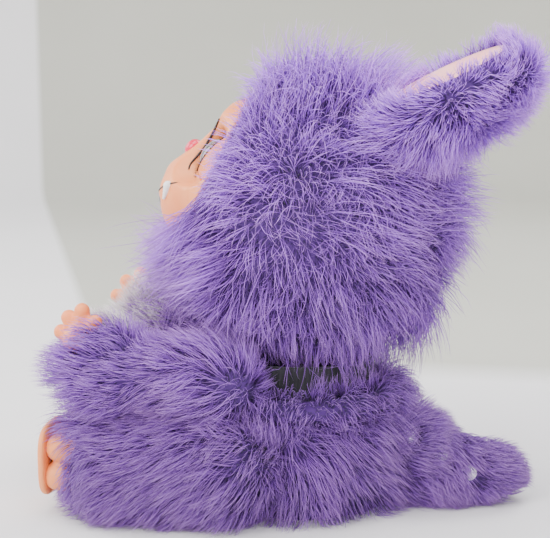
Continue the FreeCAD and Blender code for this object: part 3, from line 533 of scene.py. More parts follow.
def stage_set():
    """Floor that turns up into a sweep on every side, and five soft lamps."""
    paper = backdrop_material()
    reach, bend, top = 1.9, 0.45, 2.6
    outline = [(0.0, 0.0), (0.7, 0.0), (reach - bend, 0.0)]
    outline += [(reach - bend + bend * math.sin(a), bend - bend * math.cos(a))
                for a in np.linspace(0.15, math.pi / 2, 9)]
    outline.append((reach, top))
    swept_wall("studio_sweep", outline, np.linspace(0, 2 * math.pi, 97), paper)
    soft_light("key_light", (1.15, -0.85, 1.3), (1.1, 1.1), 31, (1.0, 0.985, 0.96))
    soft_light("fill_light", (1.3, 1.0, 0.9), (1.2, 1.2), 11, (0.97, 0.97, 1.0))
    soft_light("top_light", (0.1, -0.1, 1.7), (1.0, 1.0), 20)
    soft_light("back_light", (-0.9, 0.75, 1.35), (0.9, 0.9), 22)
    soft_light("front_light", (-0.3, -1.4, 0.9), (1.1, 0.9), 14)
    world = bpy.data.worlds.new("studio_world")
    world.use_nodes = True
    backdrop = world.node_tree.nodes["Background"]
    backdrop.inputs["Color"].default_value = (0.92, 0.93, 0.96, 1)
    backdrop.inputs["Strength"].default_value = 0.84
    bpy.context.scene.world = world


def camera_set():
    """The photograph's view: from the pet's left, a little behind it and a little above."""
    azimuth, elevation = math.radians(100), math.radians(10)
    lens, width_seen, sensor = 85.0, 0.3267, 36.0
    target = Vector((0, -0.0104, 0.1345))
    back = Vector((math.sin(azimuth) * math.cos(elevation), -math.cos(azimuth) * math.cos(elevation),
                   math.sin(elevation)))
    camera = bpy.data.cameras.new("camera")
    camera.lens = lens
    camera.sensor_width = sensor
    holder = linked("camera", camera)
    holder.location = target + back * (lens * width_seen / sensor)
    look_at(holder, target)
    bpy.context.scene.camera = holder


# ---- stuffed skins under the pile

HEAD_SKIN_RADIUS = 78 * MM
NECK_OPENING = 33 * MM
# how far the head's skin sinks at the face opening, as a share of its radius
FACE_SINK = 0.065
FACE_HALF_WIDTH, FACE_HALF_HEIGHT, FACE_DROP = 48, 47.5, 16


def tangent(vectors, normals):
    """The part of each vector that lies along the surface, at unit length."""
    return unit(vectors - (vectors * normals).sum(axis=-1, keepdims=True) * normals)


def flow(direction, normals):
    """One direction laid along the surface at each root."""
    return tangent(np.tile(direction, (len(normals), 1)), normals)


def swell(piece, cap):
    """Fills a skin by cloth simulation and keeps each point within cap of where it started."""
    start = point_array(piece.data)
    cloth = piece.modifiers.new("filling", "CLOTH")
    cloth.settings.use_pressure = True
    cloth.settings.uniform_pressure_force = 4.0
    cloth.settings.effector_weights.gravity = 0.0
    scene = bpy.context.scene
    for number in range(1, 21):
        scene.frame_set(number)
    apply_modifiers(piece)
    scene.frame_set(1)
    move = point_array(piece.data) - start
    length = np.linalg.norm(move, axis=1, keepdims=True)
    set_points(piece.data, start + move * np.minimum(1, cap / (length + 1e-9)))


def finish_skin(piece, body):
    # the skin's dark colour is painted shade deep under the pile
    piece.data.materials.clear()
    piece.data.materials.append(FINISHES["plush_pile"])
    shade_smooth(piece.data)
    piece.data.update()
    settle(piece, body)


def stuffed(name, node, body, cap=4 * MM, voxel=4.5 * MM):
    """A filled skin in the place of a CAD soft solid."""
    piece = linked(name, frame["nodes"][node].data.copy())
    remesh(piece, voxel, 6)
    swell(piece, cap)
    modify(piece, ("SUBSURF", {"levels": 1, "render_levels": 1}))
    finish_skin(piece, body)
    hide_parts(node)
    return piece


def to_head(points):
    """Row-frame points as (side, forward, up) in millimetres from the head centre."""
    offset = (np.asarray(points, float) - np.array(HEAD)) / MM
    return np.stack([offset[..., 0], offset @ FORWARD, offset @ UPWARD], axis=-1)


def head_skin():
    """Domed plush skin over the skull, sunk towards the face opening, and open at the neck."""
    form = bmesh.new()
    bmesh.ops.create_icosphere(form, subdivisions=5, radius=HEAD_SKIN_RADIUS)
    bmesh.ops.translate(form, verts=form.verts, vec=HEAD)
    world = np.array([vertex.co for vertex in form.verts])
    sink = 1 - FACE_SINK * (1 - face_rim(world))
    world = np.array(HEAD) + (world - np.array(HEAD)) * sink[:, None]
    for vertex, place in zip(form.verts, world):
        vertex.co = place
    gone = [vertex for vertex, drop in zip(form.verts, in_face(world) | at_neck(world)) if drop]
    bmesh.ops.delete(form, geom=gone, context="VERTS")
    mesh = bpy.data.meshes.new("head_plush")
    form.to_mesh(mesh)
    form.free()
    piece = linked("head_plush", mesh)
    modify(piece, ("SOLIDIFY", {"thickness": 2 * MM}))
    finish_skin(piece, "head")
    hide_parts("head_fur")
    return piece


def face_share(places):
    """0 at the middle of the face opening and 1 on its edge."""
    return np.hypot(places[:, 0] / FACE_HALF_WIDTH, (places[:, 2] + FACE_DROP) / FACE_HALF_HEIGHT)


def in_face(world):
    places = to_head(world)
    return (places[:, 1] > 30) & (face_share(places) < 1)


def at_neck(world):
    low = world[:, 2] < HEAD.z
    return low & (np.hypot(world[:, 0] - HEAD.x, world[:, 1] - HEAD.y) < NECK_OPENING)


# ---- finishes

# slot: dark colour, light colour, roughness range, grain, patches, depth of the bump, and the rest
FINISH_TABLE = {
    # the dark plush skin colour is painted shade deep in the pile
    "plush_pile": ((0.060, 0.020, 0.140), (0.105, 0.036, 0.230), (0.85, 0.95), 400.0, 60.0, 0.3, {}),
    "face_vinyl": ((0.92, 0.255, 0.075), (0.97, 0.32, 0.11), (0.36, 0.50), 1500.0, 45.0, 0.08,
                   {"Subsurface_Weight": 0.12, "Subsurface_Scale": 0.003}),
    "foot_vinyl": ((0.86, 0.27, 0.085), (0.93, 0.34, 0.12), (0.38, 0.52), 1500.0, 60.0, 0.08,
                   {"Subsurface_Weight": 0.10, "Subsurface_Scale": 0.003}),
    "nose_gloss": ((0.72, 0.003, 0.050), (0.82, 0.006, 0.080), (0.18, 0.26), 1200.0, 90.0, 0.04,
                   {"Coat_Weight": 0.5, "Coat_Roughness": 0.1}),
    "ear_satin": ((0.97, 0.41, 0.42), (1.00, 0.52, 0.50), (0.32, 0.45), 2200.0, 80.0, 0.10,
                  {"Sheen_Weight": 0.5, "Sheen_Roughness": 0.35}),
    "knit_black": ((0.012, 0.012, 0.016), (0.028, 0.027, 0.034), (0.8, 0.95), 1800.0, 120.0, 0.4,
                   {"Sheen_Weight": 0.3}),
    "tooth_white": ((0.80, 0.80, 0.78), (0.88, 0.88, 0.87), (0.22, 0.32), 900.0, 120.0, 0.04, {}),
    "mouth_slate": ((0.035, 0.055, 0.075), (0.055, 0.085, 0.11), (0.35, 0.5), 900.0, 80.0, 0.12, {}),
    "lash_brown": ((0.016, 0.008, 0.008), (0.035, 0.018, 0.016), (0.45, 0.6), 2500.0, 300.0, 0.2, {}),
    "lid_vinyl": ((0.80, 0.38, 0.34), (0.88, 0.46, 0.40), (0.36, 0.5), 1500.0, 60.0, 0.08, {}),
    "case_plastic": ((0.16, 0.15, 0.17), (0.20, 0.19, 0.21), (0.4, 0.55), 700.0, 30.0, 0.12, {}),
    "gear_nylon": ((0.74, 0.73, 0.68), (0.80, 0.79, 0.75), (0.35, 0.5), 900.0, 60.0, 0.08, {}),
    "steel": ((0.50, 0.50, 0.52), (0.60, 0.60, 0.62), (0.22, 0.36), 1600.0, 60.0, 0.06, {"Metallic": 1.0}),
    "contact_metal": ((0.62, 0.58, 0.46), (0.70, 0.66, 0.54), (0.2, 0.34), 1600.0, 80.0, 0.05,
                      {"Metallic": 1.0}),
    "board_green": ((0.015, 0.13, 0.06), (0.025, 0.18, 0.085), (0.32, 0.46), 1200.0, 200.0, 0.1, {}),
    "cell_wrap": ((0.06, 0.07, 0.10), (0.09, 0.10, 0.14), (0.25, 0.35), 900.0, 50.0, 0.03, {}),
    "stud_metal": ((0.55, 0.55, 0.60), (0.66, 0.66, 0.70), (0.2, 0.32), 1500.0, 90.0, 0.05,
                   {"Metallic": 1.0}),
}
FINISHES = {slot: moulded_material(slot, *numbers, **extras)
            for slot, (*numbers, extras) in FINISH_TABLE.items()}


def eye_material():
    """White, hazel iris and black pupil, by distance from the eye's axis; v is that distance."""
    material, tree, shader = new_material("eye_gloss")
    away = split(tree, uv_coordinates(tree))["Y"]
    stretched = add_node(tree, "ShaderNodeMapping")
    stretched.inputs["Scale"].default_value = (90, 4, 1)
    tree.links.new(uv_coordinates(tree), stretched.inputs["Vector"])
    fibres = noise_value(tree, stretched.outputs["Vector"], 1.0)
    iris = ramp(tree, fibres, [(0.3, (0.055, 0.022, 0.008)), (0.7, (0.24, 0.12, 0.035))])
    ring = ramp(tree, away, [(0.30, 1.0), (0.315, 0.0)])
    pupil = ramp(tree, away, [(0.145, 0.0), (0.155, 1.0)])
    vein = ramp(tree, noise_value(tree, object_coordinates(tree), 260.0),
                [(0.3, (0.78, 0.78, 0.80)), (0.7, (0.86, 0.86, 0.87))])
    colour = mixed(tree, 1.0, mixed(tree, ring, vein, iris), pupil, "MULTIPLY")
    tree.links.new(colour, shader.inputs["Base Color"])
    gloss = noise_value(tree, object_coordinates(tree), 900.0)
    tree.links.new(ramp(tree, gloss, [(0.3, 0.06), (0.7, 0.12)]), shader.inputs["Roughness"])
    bump(tree, shader, gloss, 0.02, 0.0001)
    set_sockets(shader, Coat_Weight=1.0, Coat_Roughness=0.03)
    return material


FINISHES["eye_gloss"] = eye_material()


def finish_cad_nodes():
    """Gives every CAD node the material of its slot."""
    for part in frame["record"]["subparts"]:
        node = frame["nodes"][part["node"]]
        node.data.materials.clear()
        node.data.materials.append(FINISHES[part["material_slot"]])


# ---- pile on each part

# the root colours are painted shade among the hairs, the tip colours painted highlights
PILE = hair_material("pile_violet", (0.045, 0.010, 0.115), (0.380, 0.125, 0.740), (0.600, 0.280, 0.950),
                     (0.660, 0.310, 0.900))
CREAM = hair_material("pile_cream", (0.70, 0.50, 0.72), (0.92, 0.80, 0.90), (0.97, 0.92, 0.95),
                      (0.97, 0.88, 0.90))
DOWN = np.array((0.0, 0.0, -1.0))
AHEAD = np.array((0.0, -1.0, 0.0))
WHORL = unit(np.array((0.93, -0.12, 0.10)))


def mirrored(vector, roots):
    """The vector at each root, turned over on the right side."""
    each = np.tile(np.asarray(vector, float), (len(roots), 1))
    each[:, 0] *= np.where(roots[:, 0] < 0, -1, 1)
    return each


def head_comb(roots, normals):
    """Pile runs out from a whorl on each cheek, sweeps forward under the face, and falls at the neck."""
    whorl = mirrored(WHORL, roots)
    from_whorl = normals - whorl * (normals * whorl).sum(axis=1, keepdims=True)
    radial = tangent(from_whorl + 1e-6, normals)
    spread = smooth_step(0.05, 0.35, np.linalg.norm(from_whorl, axis=1))[:, None]
    fall = flow(DOWN, normals)
    ruff = flow(AHEAD + DOWN * 0.45, normals) * ruff_share(roots)[:, None] * 1.7
    low = np.clip(-normals[:, 2:3] * 1.4 - 0.2, 0, 1)
    upright = 1 - 0.7 * np.clip(normals[:, 2:3] * 1.5 - 0.3, 0, 1)
    rim = (0.35 + 0.65 * face_rim(roots))[:, None]
    return (radial * (0.25 + 0.45 * spread) * rim + fall * (0.12 + 0.6 * low)) * upright + ruff


def ruff_comb(roots, normals):
    """Straight forward past the mouth and chin, falling a little."""
    return flow(AHEAD + DOWN * 0.35, normals) * 1.6


def ruff_share(roots):
    """1 on the lower cheeks beside the mouth and under the chin, fading to 0 round them."""
    places = to_head(roots)
    beside = np.maximum(smooth_step(16, 30, np.abs(places[:, 0])), smooth_step(46, 60, -places[:, 2]))
    return smooth_step(0, 26, places[:, 1]) * beside * (1 - smooth_step(-28, -13, places[:, 2]))


def face_rim(roots):
    """0 at the face opening and 1 well away from it."""
    places = to_head(roots)
    away = np.clip((face_share(places) - 1.0) / 0.6, 0, 1)
    return np.where(places[:, 1] > 12, away, 1.0)


def head_length(roots):
    """Short round the eyes, full over the head, longest on the lower cheeks and at the neck."""
    height = (roots[:, 2] - HEAD.z) / (70 * MM)
    behind = np.clip((roots[:, 1] - HEAD.y) / (40 * MM), 0, 1) * np.clip(-height, 0, 1)
    back = np.clip((roots[:, 1] - HEAD.y) / (70 * MM), 0, 1)
    full = 35 + 5 * np.clip(-height, 0, 1) + 15 * np.clip(height, 0, 1) ** 1.5 + 6 * behind + 3 * back
    rim = 9 + (full - 9) * face_rim(roots)
    return (rim + (50 - rim) * ruff_share(roots)) * MM


def head_shade(roots):
    """Cooler on the crown, warmer under the cheeks."""
    return np.clip(0.75 - (roots[:, 2] - HEAD.z) / (160 * MM), 0, 1)


def head_pile(skin):
    pile("head_pile", skin, "head", PILE, head_length, head_comb, 11, 0.8, 0.22, shade=head_shade, pieces=6)
    pile("ruff_pile", skin, "head", PILE, 58 * MM, ruff_comb, 17, 0.45, 0.1, keep=ruff_share, spread=0.35,
         shade=head_shade)


def body_comb(roots, normals):
    """Down the flanks, forward over the hips and back towards the tail."""
    run = np.tile((0.0, 1.0, 0.0), (len(roots), 1)) * np.clip(roots[:, 1:2] / (40 * MM), -1, 1)
    return flow(DOWN, normals) * 0.7 + tangent(run + 1e-6, normals) * 0.5


def limb_comb(along, fall=0.35):
    """Pile that runs along a limb and falls a little."""
    direction = unit(np.asarray(along, float))

    def comb(roots, normals):
        return flow(direction, normals) * 0.8 + flow(DOWN, normals) * fall

    return comb


def off_floor(centres):
    """Fewer roots on the underside, which is pressed on the floor."""
    return np.clip((centres[:, 2] - 3 * MM) / (6 * MM), 0.05, 1)


def body_skin_and_pile():
    skin = stuffed("body_plush", "body_fur", "torso")
    pile("body_pile", skin, "torso", PILE, 30 * MM, body_comb, 23, 0.65, 0.35, keep=off_floor, pieces=2)


def beside_foot(roots):
    """1 on the end of the leg round the foot, which the pile leaves open."""
    low = (1 - smooth_step(38 * MM, 48 * MM, roots[:, 2])) * smooth_step(4 * MM, 12 * MM, roots[:, 2])
    return low * (1 - smooth_step(-106 * MM, -88 * MM, roots[:, 1]))


def leg_comb(roots, normals):
    return limb_comb((0, -1, 0))(roots, normals) * (1 - 0.75 * beside_foot(roots)[:, None])


def leg_length(roots):
    over_foot = smooth_step(40 * MM, 50 * MM, roots[:, 2]) * smooth_step(80 * MM, 100 * MM, -roots[:, 1])
    return (27 - 8 * beside_foot(roots) + 8 * over_foot) * MM


def leg_skin_and_pile(side):
    skin = stuffed(f"leg_plush_{side}", f"leg_fur_{side}", "torso")
    pile(f"leg_pile_{side}", skin, "torso", PILE, leg_length, leg_comb, 31 if side == "left" else 37, 0.65,
         0.3, keep=off_floor, pieces=2)


def inner_wrist(side):
    """Only the inner and upper side of the arm's end."""

    def keep(centres):
        ahead = smooth_step(80 * MM, 98 * MM, -centres[:, 1])
        inner = smooth_step(-2 * MM, 10 * MM, -(centres[:, 0] - middle(f"arm_fur_{side}").x) * SIDES[side])
        return ahead * inner * smooth_step(78 * MM, 92 * MM, centres[:, 2]) + 1e-6

    return keep


def arm_skin_and_pile(side):
    skin = stuffed(f"arm_plush_{side}", f"arm_fur_{side}", f"arm_{side}")
    seed = 41 if side == "left" else 43
    pile(f"arm_pile_{side}", skin, f"arm_{side}", PILE, 25 * MM, limb_comb((0, -1, 0.45), 0.2), seed, 0.7,
         0.2)
    pile(f"cuff_pile_{side}", skin, f"arm_{side}", CREAM, 20 * MM, limb_comb((0, -0.7, 0.9), 0.0), seed + 4,
         0.7, 0.0, count=1500, keep=inner_wrist(side))


def clear_of_studs(centres):
    """No roots on the floor side or under a stud."""
    share = off_floor(centres)
    for points in loose_parts(frame["nodes"]["tail_studs"].data):
        gap = np.linalg.norm(centres - points.mean(axis=0), axis=1)
        share = share * smooth_step(4.5 * MM, 7 * MM, gap)
    return share


def tail_length(roots):
    """Longest over the tail's root, and shorter near the studs and the tip."""
    ahead = np.clip((roots[:, 1] - 62 * MM) / (50 * MM), 0, 1)
    beside = np.clip(roots[:, 0] / (12 * MM), 0, 1)
    return (36 - 20 * ahead - 5 * beside * (1 - ahead)) * MM


def tail_skin_and_pile():
    skin = stuffed("tail_plush", "tail_fur", "torso")
    pile("tail_pile", skin, "torso", PILE, tail_length, limb_comb((0, 0.8, -0.1), 0.2), 53, 0.6, 0.2,
         keep=clear_of_studs, pieces=2)


def neck_plush():
    """Stuffed ring on top of the body, round the collar, with its own pile."""
    low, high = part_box("neck_collar")
    centre = np.array(((low.x + high.x) / 2, (low.y + high.y) / 2, low.z))
    outer = (high.x - low.x) / 2
    angles = np.linspace(0, 2 * math.pi, 25)
    section = [(outer + 9.5 * MM + 8.5 * MM * math.cos(a), 1 * MM + 6 * MM * math.sin(a)) for a in angles]
    ring = turned("neck_plush", section, centre, (0, 0, 1), FINISHES["plush_pile"], 96)
    modify(ring, ("WELD", {"merge_threshold": 0.1 * MM}))
    finish_skin(ring, "torso")

    def comb(roots, normals):
        out = tangent((roots - centre) * (1, 1, 0) + 1e-6, normals)
        return out * 0.6 + flow(DOWN, normals) * 0.2

    pile("neck_pile", ring, "torso", PILE, 22 * MM, comb, 83, 0.9, 0.15)


# ---- ears

EAR_LIFT = math.radians(25)
EAR_ALONG = np.array((0, math.cos(EAR_LIFT), math.sin(EAR_LIFT)))
EAR_FACING = np.array((0, -math.sin(EAR_LIFT), math.cos(EAR_LIFT)))
LINING_HEIGHT = 11 * MM
LINING_HALF_WIDTH, LINING_HALF_LENGTH = 19.5, 33.0


def ear_centre(side):
    return np.array(middle(f"ear_lining_{side}")) - EAR_FACING * LINING_HEIGHT


def ear_local(points, side):
    """Row-frame points as (across, along, out) in millimetres from the ear's centre."""
    offset = (points - ear_centre(side)) / MM
    return np.stack([offset[..., 0], offset @ EAR_ALONG, offset @ EAR_FACING], axis=-1)


def opening_share(place):
    """0 at the middle of the lining and 1 on its edge."""
    return np.hypot(place[..., 0] / LINING_HALF_WIDTH, place[..., 1] / LINING_HALF_LENGTH)


def lip_share(place):
    """1 on the lip round the lining, 0 away from it and underneath."""
    return (1 - smooth_step(1.15, 1.5, opening_share(place))) * smooth_step(0, 4, place[..., 2])


def ear_comb(side):
    """Pile runs out from the ear's root to its edges and its tip, and stands up round the lining."""
    root = ear_centre(side) - EAR_ALONG * 14 * MM

    def comb(roots, normals):
        out = tangent(roots - root + 1e-6, normals)
        place = ear_local(roots, side)
        lip = lip_share(place)[:, None]
        free = smooth_step(1.1, 2.0, opening_share(place))[:, None]
        fall, rise = flow(DOWN, normals), flow(EAR_FACING, normals)
        return out * (0.2 + 0.55 * free) * (1 - lip) + fall * 0.15 * free + rise * 0.6 * lip

    return comb


def ear_length(side):
    """Longest below, and shorter on the lip round the lining."""

    def length(roots):
        place = ear_local(roots, side)
        far = smooth_step(0, 10, -place[:, 0] * SIDES[side])
        return (25 - (12 - 5 * far) * lip_share(place) - 3 * smooth_step(22, 38, place[:, 1])) * MM

    return length


def ear_keep(side):
    """No pile inside the lined opening."""

    def keep(centres):
        place = ear_local(centres, side)
        return np.where((opening_share(place) < 1.03) & (place[:, 2] > 0), 0.0, 1.0)

    return keep


def cup_height(x, y, side):
    """Height of the cupped lining over the ear's middle plane, turned outward a little."""
    share = opening_share(np.stack([x, y], axis=-1))
    return 12.0 - 7.0 * (1 - share ** 2) - x * SIDES[side] * 0.2


def sink_opening(skin, side):
    """Presses the ear's skin down behind the lining and raises it to a lip round the edge."""
    points = point_array(skin.data)
    place = ear_local(points, side)
    share = opening_share(place)
    rim = place[:, :2] / np.maximum(share, 1.0)[:, None]
    height = cup_height(rim[:, 0], rim[:, 1], side)
    drop = np.where(share < 1.0, np.minimum(height - 2.0 - place[:, 2], 0), 0)
    raised = np.maximum(height - 1.2 - place[:, 2], 0) * smooth_step(0.95, 1.02, share)
    raised *= 1 - smooth_step(1.04, 1.3, share)
    move = np.where(place[:, 2] > 0, drop + raised, 0)
    set_points(skin.data, points + move[:, None] * MM * EAR_FACING)


def ear_lining(side):
    """Cupped satin lining with soft creases, set in the ear's opening."""
    rings, spokes = 16, 72
    centre = ear_centre(side)
    points = []
    for ring in range(rings + 1):
        share = ring / rings
        for spoke in range(spokes):
            turn = 2 * math.pi * spoke / spokes
            x = share * LINING_HALF_WIDTH * math.cos(turn)
            y = share * LINING_HALF_LENGTH * math.sin(turn)
            crease = 0.5 * math.sin(y * 0.55 + 1.5 * math.sin(x * 0.3)) * (1 - share ** 3)
            out = cup_height(x, y, side) + crease
            points.append(centre + np.array((x, 0, 0)) * MM + (EAR_ALONG * y + EAR_FACING * out) * MM)
    quads = [quad for ring in range(1, rings) for quad in band(ring * spokes, (ring + 1) * spokes, spokes)]
    fans = [(0, spokes + k, spokes + (k + 1) % spokes) for k in range(spokes)]
    loops = np.concatenate([np.ravel(quads), np.ravel(fans)])
    starts = np.concatenate([np.arange(len(quads)) * 4, len(quads) * 4 + np.arange(spokes) * 3])
    totals = np.concatenate([np.full(len(quads), 4), np.full(spokes, 3)])
    lining = mesh_object(f"ear_satin_{side}", points, loops, starts, totals, FINISHES["ear_satin"])
    modify(lining, ("SOLIDIFY", {"thickness": 0.9 * MM}))
    settle(lining, f"ear_{side}", f"ear_lining_{side}")
    ear_shade_line(side, points[-spokes:])


def ear_shade_line(side, rim):
    """Thin dark line round the lining: painted shadow between the lining and the pile."""
    seam = tube(f"ear_shade_line_{side}", np.array(rim) + EAR_FACING * 0.4 * MM, np.full(len(rim), 0.35 * MM),
                FINISHES["plush_pile"], True)
    settle(seam, f"ear_{side}")


def ear_pieces(side):
    skin = stuffed(f"ear_plush_{side}", f"ear_fur_{side}", f"ear_{side}", cap=2 * MM, voxel=3.5 * MM)
    sink_opening(skin, side)
    pile(f"ear_pile_{side}", skin, f"ear_{side}", PILE, ear_length(side), ear_comb(side),
         61 if side == "left" else 67, 0.75, 0.1, keep=ear_keep(side))
    ear_lining(side)


# ---- face

EYE_CENTRES = {side: (sign * 23, 53, -5) for side, sign in SIDES.items()}
EYE_RADIUS = 16.5
SOCKET_RADIUS = EYE_RADIUS + 1.5
# where the face leaves the socket ball and where it is all face, in degrees from the eye's axis
SOCKET_BLEND = (11.5, 17.4)
EYE_OPEN = (13.2, 15.2)
LID_SHRINK = 0.966
MASK_RADIUS = 75.0
FACE_AXIS, FACE_SPREAD = math.radians(-15), math.radians(41)
JAW_SPREAD = math.radians(17)
# the middle line of the face, as (degrees above forward, distance from the head centre)
PROFILE = ((-58, 76.5), (-51, 79.6), (-40.3, 86.5), (-35.8, 88.6), (-31.4, 89.0), (-27.5, 90.0),
           (-20.3, 89.0), (-14, 82.8), (-7.1, 77.6), (0, 75.4), (5.8, 74.4), (8.9, 74.8), (11.3, 77.2),
           (15, 78.6), (19, 77.4), (27, 75.6))


def directions(alpha, beta):
    return np.stack([np.sin(alpha) * np.cos(beta), np.cos(alpha) * np.cos(beta), np.sin(beta)], axis=-1)


def ball_reach(heading, centre, radius, stretch=1.0):
    """Distance along each heading to the far side of a ball, stretched sideways; 0 on a miss."""
    scale = np.array((1 / stretch, 1.0, 1.0))
    along, middle_point = heading * scale, np.array(centre) * scale
    a = (along ** 2).sum(axis=-1)
    b = (along * middle_point).sum(axis=-1)
    c = (middle_point ** 2).sum() - radius ** 2
    root = b ** 2 - a * c
    return np.where(root > 0, (b + np.sqrt(np.maximum(root, 0))) / a, 0.0)


def soft_max(first, second, blend):
    return 0.5 * (first + second + np.sqrt((first - second) ** 2 + blend ** 2))


def bump_at(alpha, beta, side, up, width, height):
    """A soft swelling on both sides of the face, with places in degrees."""
    total = 0
    for sign in (1, -1):
        off = ((np.degrees(alpha) - sign * side) / width) ** 2 + ((np.degrees(beta) - up) / width) ** 2
        total = total + height * np.exp(-off)
    return total


def profile_curve(beta):
    """The middle line's distance, smoothed between the profile's points."""
    places, reach = np.array(PROFILE).T
    degrees = np.degrees(beta)
    total = 0
    for shift in (-1.5, -0.75, 0, 0.75, 1.5):
        total = total + np.interp(degrees + shift, places, reach)
    return total / 5


def face_reach(alpha, beta):
    """The face's distance from the head centre along each direction."""

    def form(alpha):
        heading = directions(alpha, beta)
        muzzle = ball_reach(heading, (0, 52, -33), 29.5, 1.12)
        shape = soft_max(np.full(alpha.shape, MASK_RADIUS), muzzle, 5.0)
        return shape + bump_at(alpha, beta, 17, 14, 7.5, 3.0) + bump_at(alpha, beta, 27, -21, 8, 2.6)

    middle_share = np.exp(-(np.degrees(alpha) / 13) ** 2)
    reach = form(alpha) + (profile_curve(beta) - form(np.zeros_like(alpha))) * middle_share
    heading = directions(alpha, beta)
    for centre in EYE_CENTRES.values():
        axis = unit(np.array(centre, float))
        off = np.degrees(np.arccos(np.clip(heading @ axis, -1, 1)))
        lid = ball_reach(heading, centre, SOCKET_RADIUS)
        reach = np.where(lid > 0, reach + (lid - reach) * (1 - smooth_step(*SOCKET_BLEND, off)), reach)
    return reach


def mouth_line(alpha):
    """The smile: how far above forward the lips meet, in radians."""
    share = np.clip(np.abs(alpha) / FACE_SPREAD, 0, 1)
    return np.radians(-31.6 + 16.6 * (1 - np.cos(math.pi * share)) / 2)


def face_edge(alpha):
    """Half the face's height at each column, as an angle from its axis."""
    return np.arccos(np.clip(math.cos(FACE_SPREAD) / np.cos(alpha), -1, 1))


def face_rows(alpha, upper):
    """Directions and distances from the rim to the lips for each column, with a turned-in rim and lip."""
    rows = 76 if upper else 40
    share = np.linspace(0, 1, rows)[:, None]
    lip = mouth_line(alpha) + math.radians(0.35 if upper else -0.55)
    rim = FACE_AXIS + face_edge(alpha) * (1 if upper else -1)
    beta = rim + (lip - rim) * share
    wide = np.broadcast_to(alpha, beta.shape)
    reach = face_reach(wide, beta)
    lip_turn = -1 if upper else 1
    pout = smooth_step(0.86, 1.0, np.broadcast_to(share, beta.shape)) * np.exp(-(np.degrees(wide) / 19) ** 2)
    reach = reach + pout * (0.9 if upper else 1.4)
    for turn, back in ((0.7, -0.7), (1.0, -2.2), (0.6, -6.5)):
        beta = np.concatenate([beta, beta[rows - 1:rows] + math.radians(turn) * lip_turn])
        wide = np.concatenate([wide, wide[:1]])
        reach = np.concatenate([reach, reach[rows - 1:rows] + back])
    for turn, back in ((0.5, -2.0), (0.6, -9.0)):
        beta = np.concatenate([beta[:1] - math.radians(turn) * lip_turn, beta])
        wide = np.concatenate([wide[:1], wide])
        reach = np.concatenate([reach[:1] + back, reach])
    return directions(wide, beta) * reach[..., None]


def grid_faces(rows, columns, first, keep=None, turned=False):
    """Quads over a grid of points whose indices start at first; keep picks columns."""
    faces = []
    for row in range(rows - 1):
        for column in range(columns - 1):
            if keep is None or keep(column):
                a = first + row * columns + column
                quad = (a, a + 1, a + columns + 1, a + columns)
                faces.append(quad[::-1] if turned else quad)
    return faces


def grid_piece(name, grids, material):
    """One mesh from (points, keep, turned) grids, in the head's own millimetres."""
    points, faces = [], []
    for places, keep, turned in grids:
        rows, columns = places.shape[:2]
        faces += grid_faces(rows, columns, sum(len(block) for block in points), keep, turned)
        points.append(places.reshape(-1, 3))
    flat = np.concatenate(points)
    return quad_mesh(name, head_points(flat), faces, material)


def on_socket(centre, across, up, proud=0.0):
    """The point of an eye's socket ball at a place across and up from the eye's centre."""
    deep = math.sqrt(SOCKET_RADIUS ** 2 - across ** 2 - up ** 2)
    return np.array((centre[0] + across, centre[1] + deep + proud, centre[2] + up))


def eye_share(form, centre):
    """Each point's place over an eye opening, as shares across and up, and its distance as a share."""
    places = to_head(np.array([vertex.co for vertex in form.verts]))
    across = (places[:, 0] - centre[0]) / EYE_OPEN[0]
    up = (places[:, 2] - centre[2]) / EYE_OPEN[1]
    return across, up, np.where(places[:, 1] > 40, np.hypot(across, up), 9)


def open_eyes(piece):
    """Cuts the two eye openings and rounds their edges onto an oval."""
    form = bmesh.new()
    form.from_mesh(piece.data)
    bmesh.ops.remove_doubles(form, verts=form.verts, dist=0.02 * MM)
    for centre in EYE_CENTRES.values():
        size = eye_share(form, centre)[2]
        gone = [vertex for vertex, share in zip(form.verts, size) if share < 0.95]
        bmesh.ops.delete(form, geom=gone, context="VERTS")
        for vertex, across, up, share in zip(form.verts, *eye_share(form, centre)):
            if share < 1.25 and vertex.is_boundary:
                rim = on_socket(centre, across / share * EYE_OPEN[0], up / share * EYE_OPEN[1])
                vertex.co = head_points(rim)
    form.to_mesh(piece.data)
    form.free()
    shade_smooth(piece.data)


def face_skin():
    """Moulded vinyl face: brow, sockets, cheeks and muzzle, down to the lips and round the jaw."""
    alpha = np.linspace(-FACE_SPREAD, FACE_SPREAD, 151) * 0.9999
    beside_jaw = np.abs(alpha) > JAW_SPREAD

    def keep(column):
        return beside_jaw[column] or beside_jaw[column + 1]

    upper, lower = face_rows(alpha, True), face_rows(alpha, False)
    skin = grid_piece("face_skin", [(upper, None, True), (lower, keep, False)], FINISHES["face_vinyl"])
    open_eyes(skin)
    modify(skin, ("SOLIDIFY", {"thickness": 0.6 * MM}))
    settle(skin, "head", "face_mask")


def jaw_skin():
    """Lower lip and chin, which swing with the jaw."""
    alpha = np.linspace(-JAW_SPREAD, JAW_SPREAD, 61) * 0.985
    lower = face_rows(alpha, False)
    chin = grid_piece("jaw_skin", [(lower, None, False)], FINISHES["face_vinyl"])
    modify(chin, ("SOLIDIFY", {"thickness": 1.6 * MM}))
    settle(chin, "jaw", "lower_jaw")


# ---- small parts of the face

TUBE_SPOKES = 10

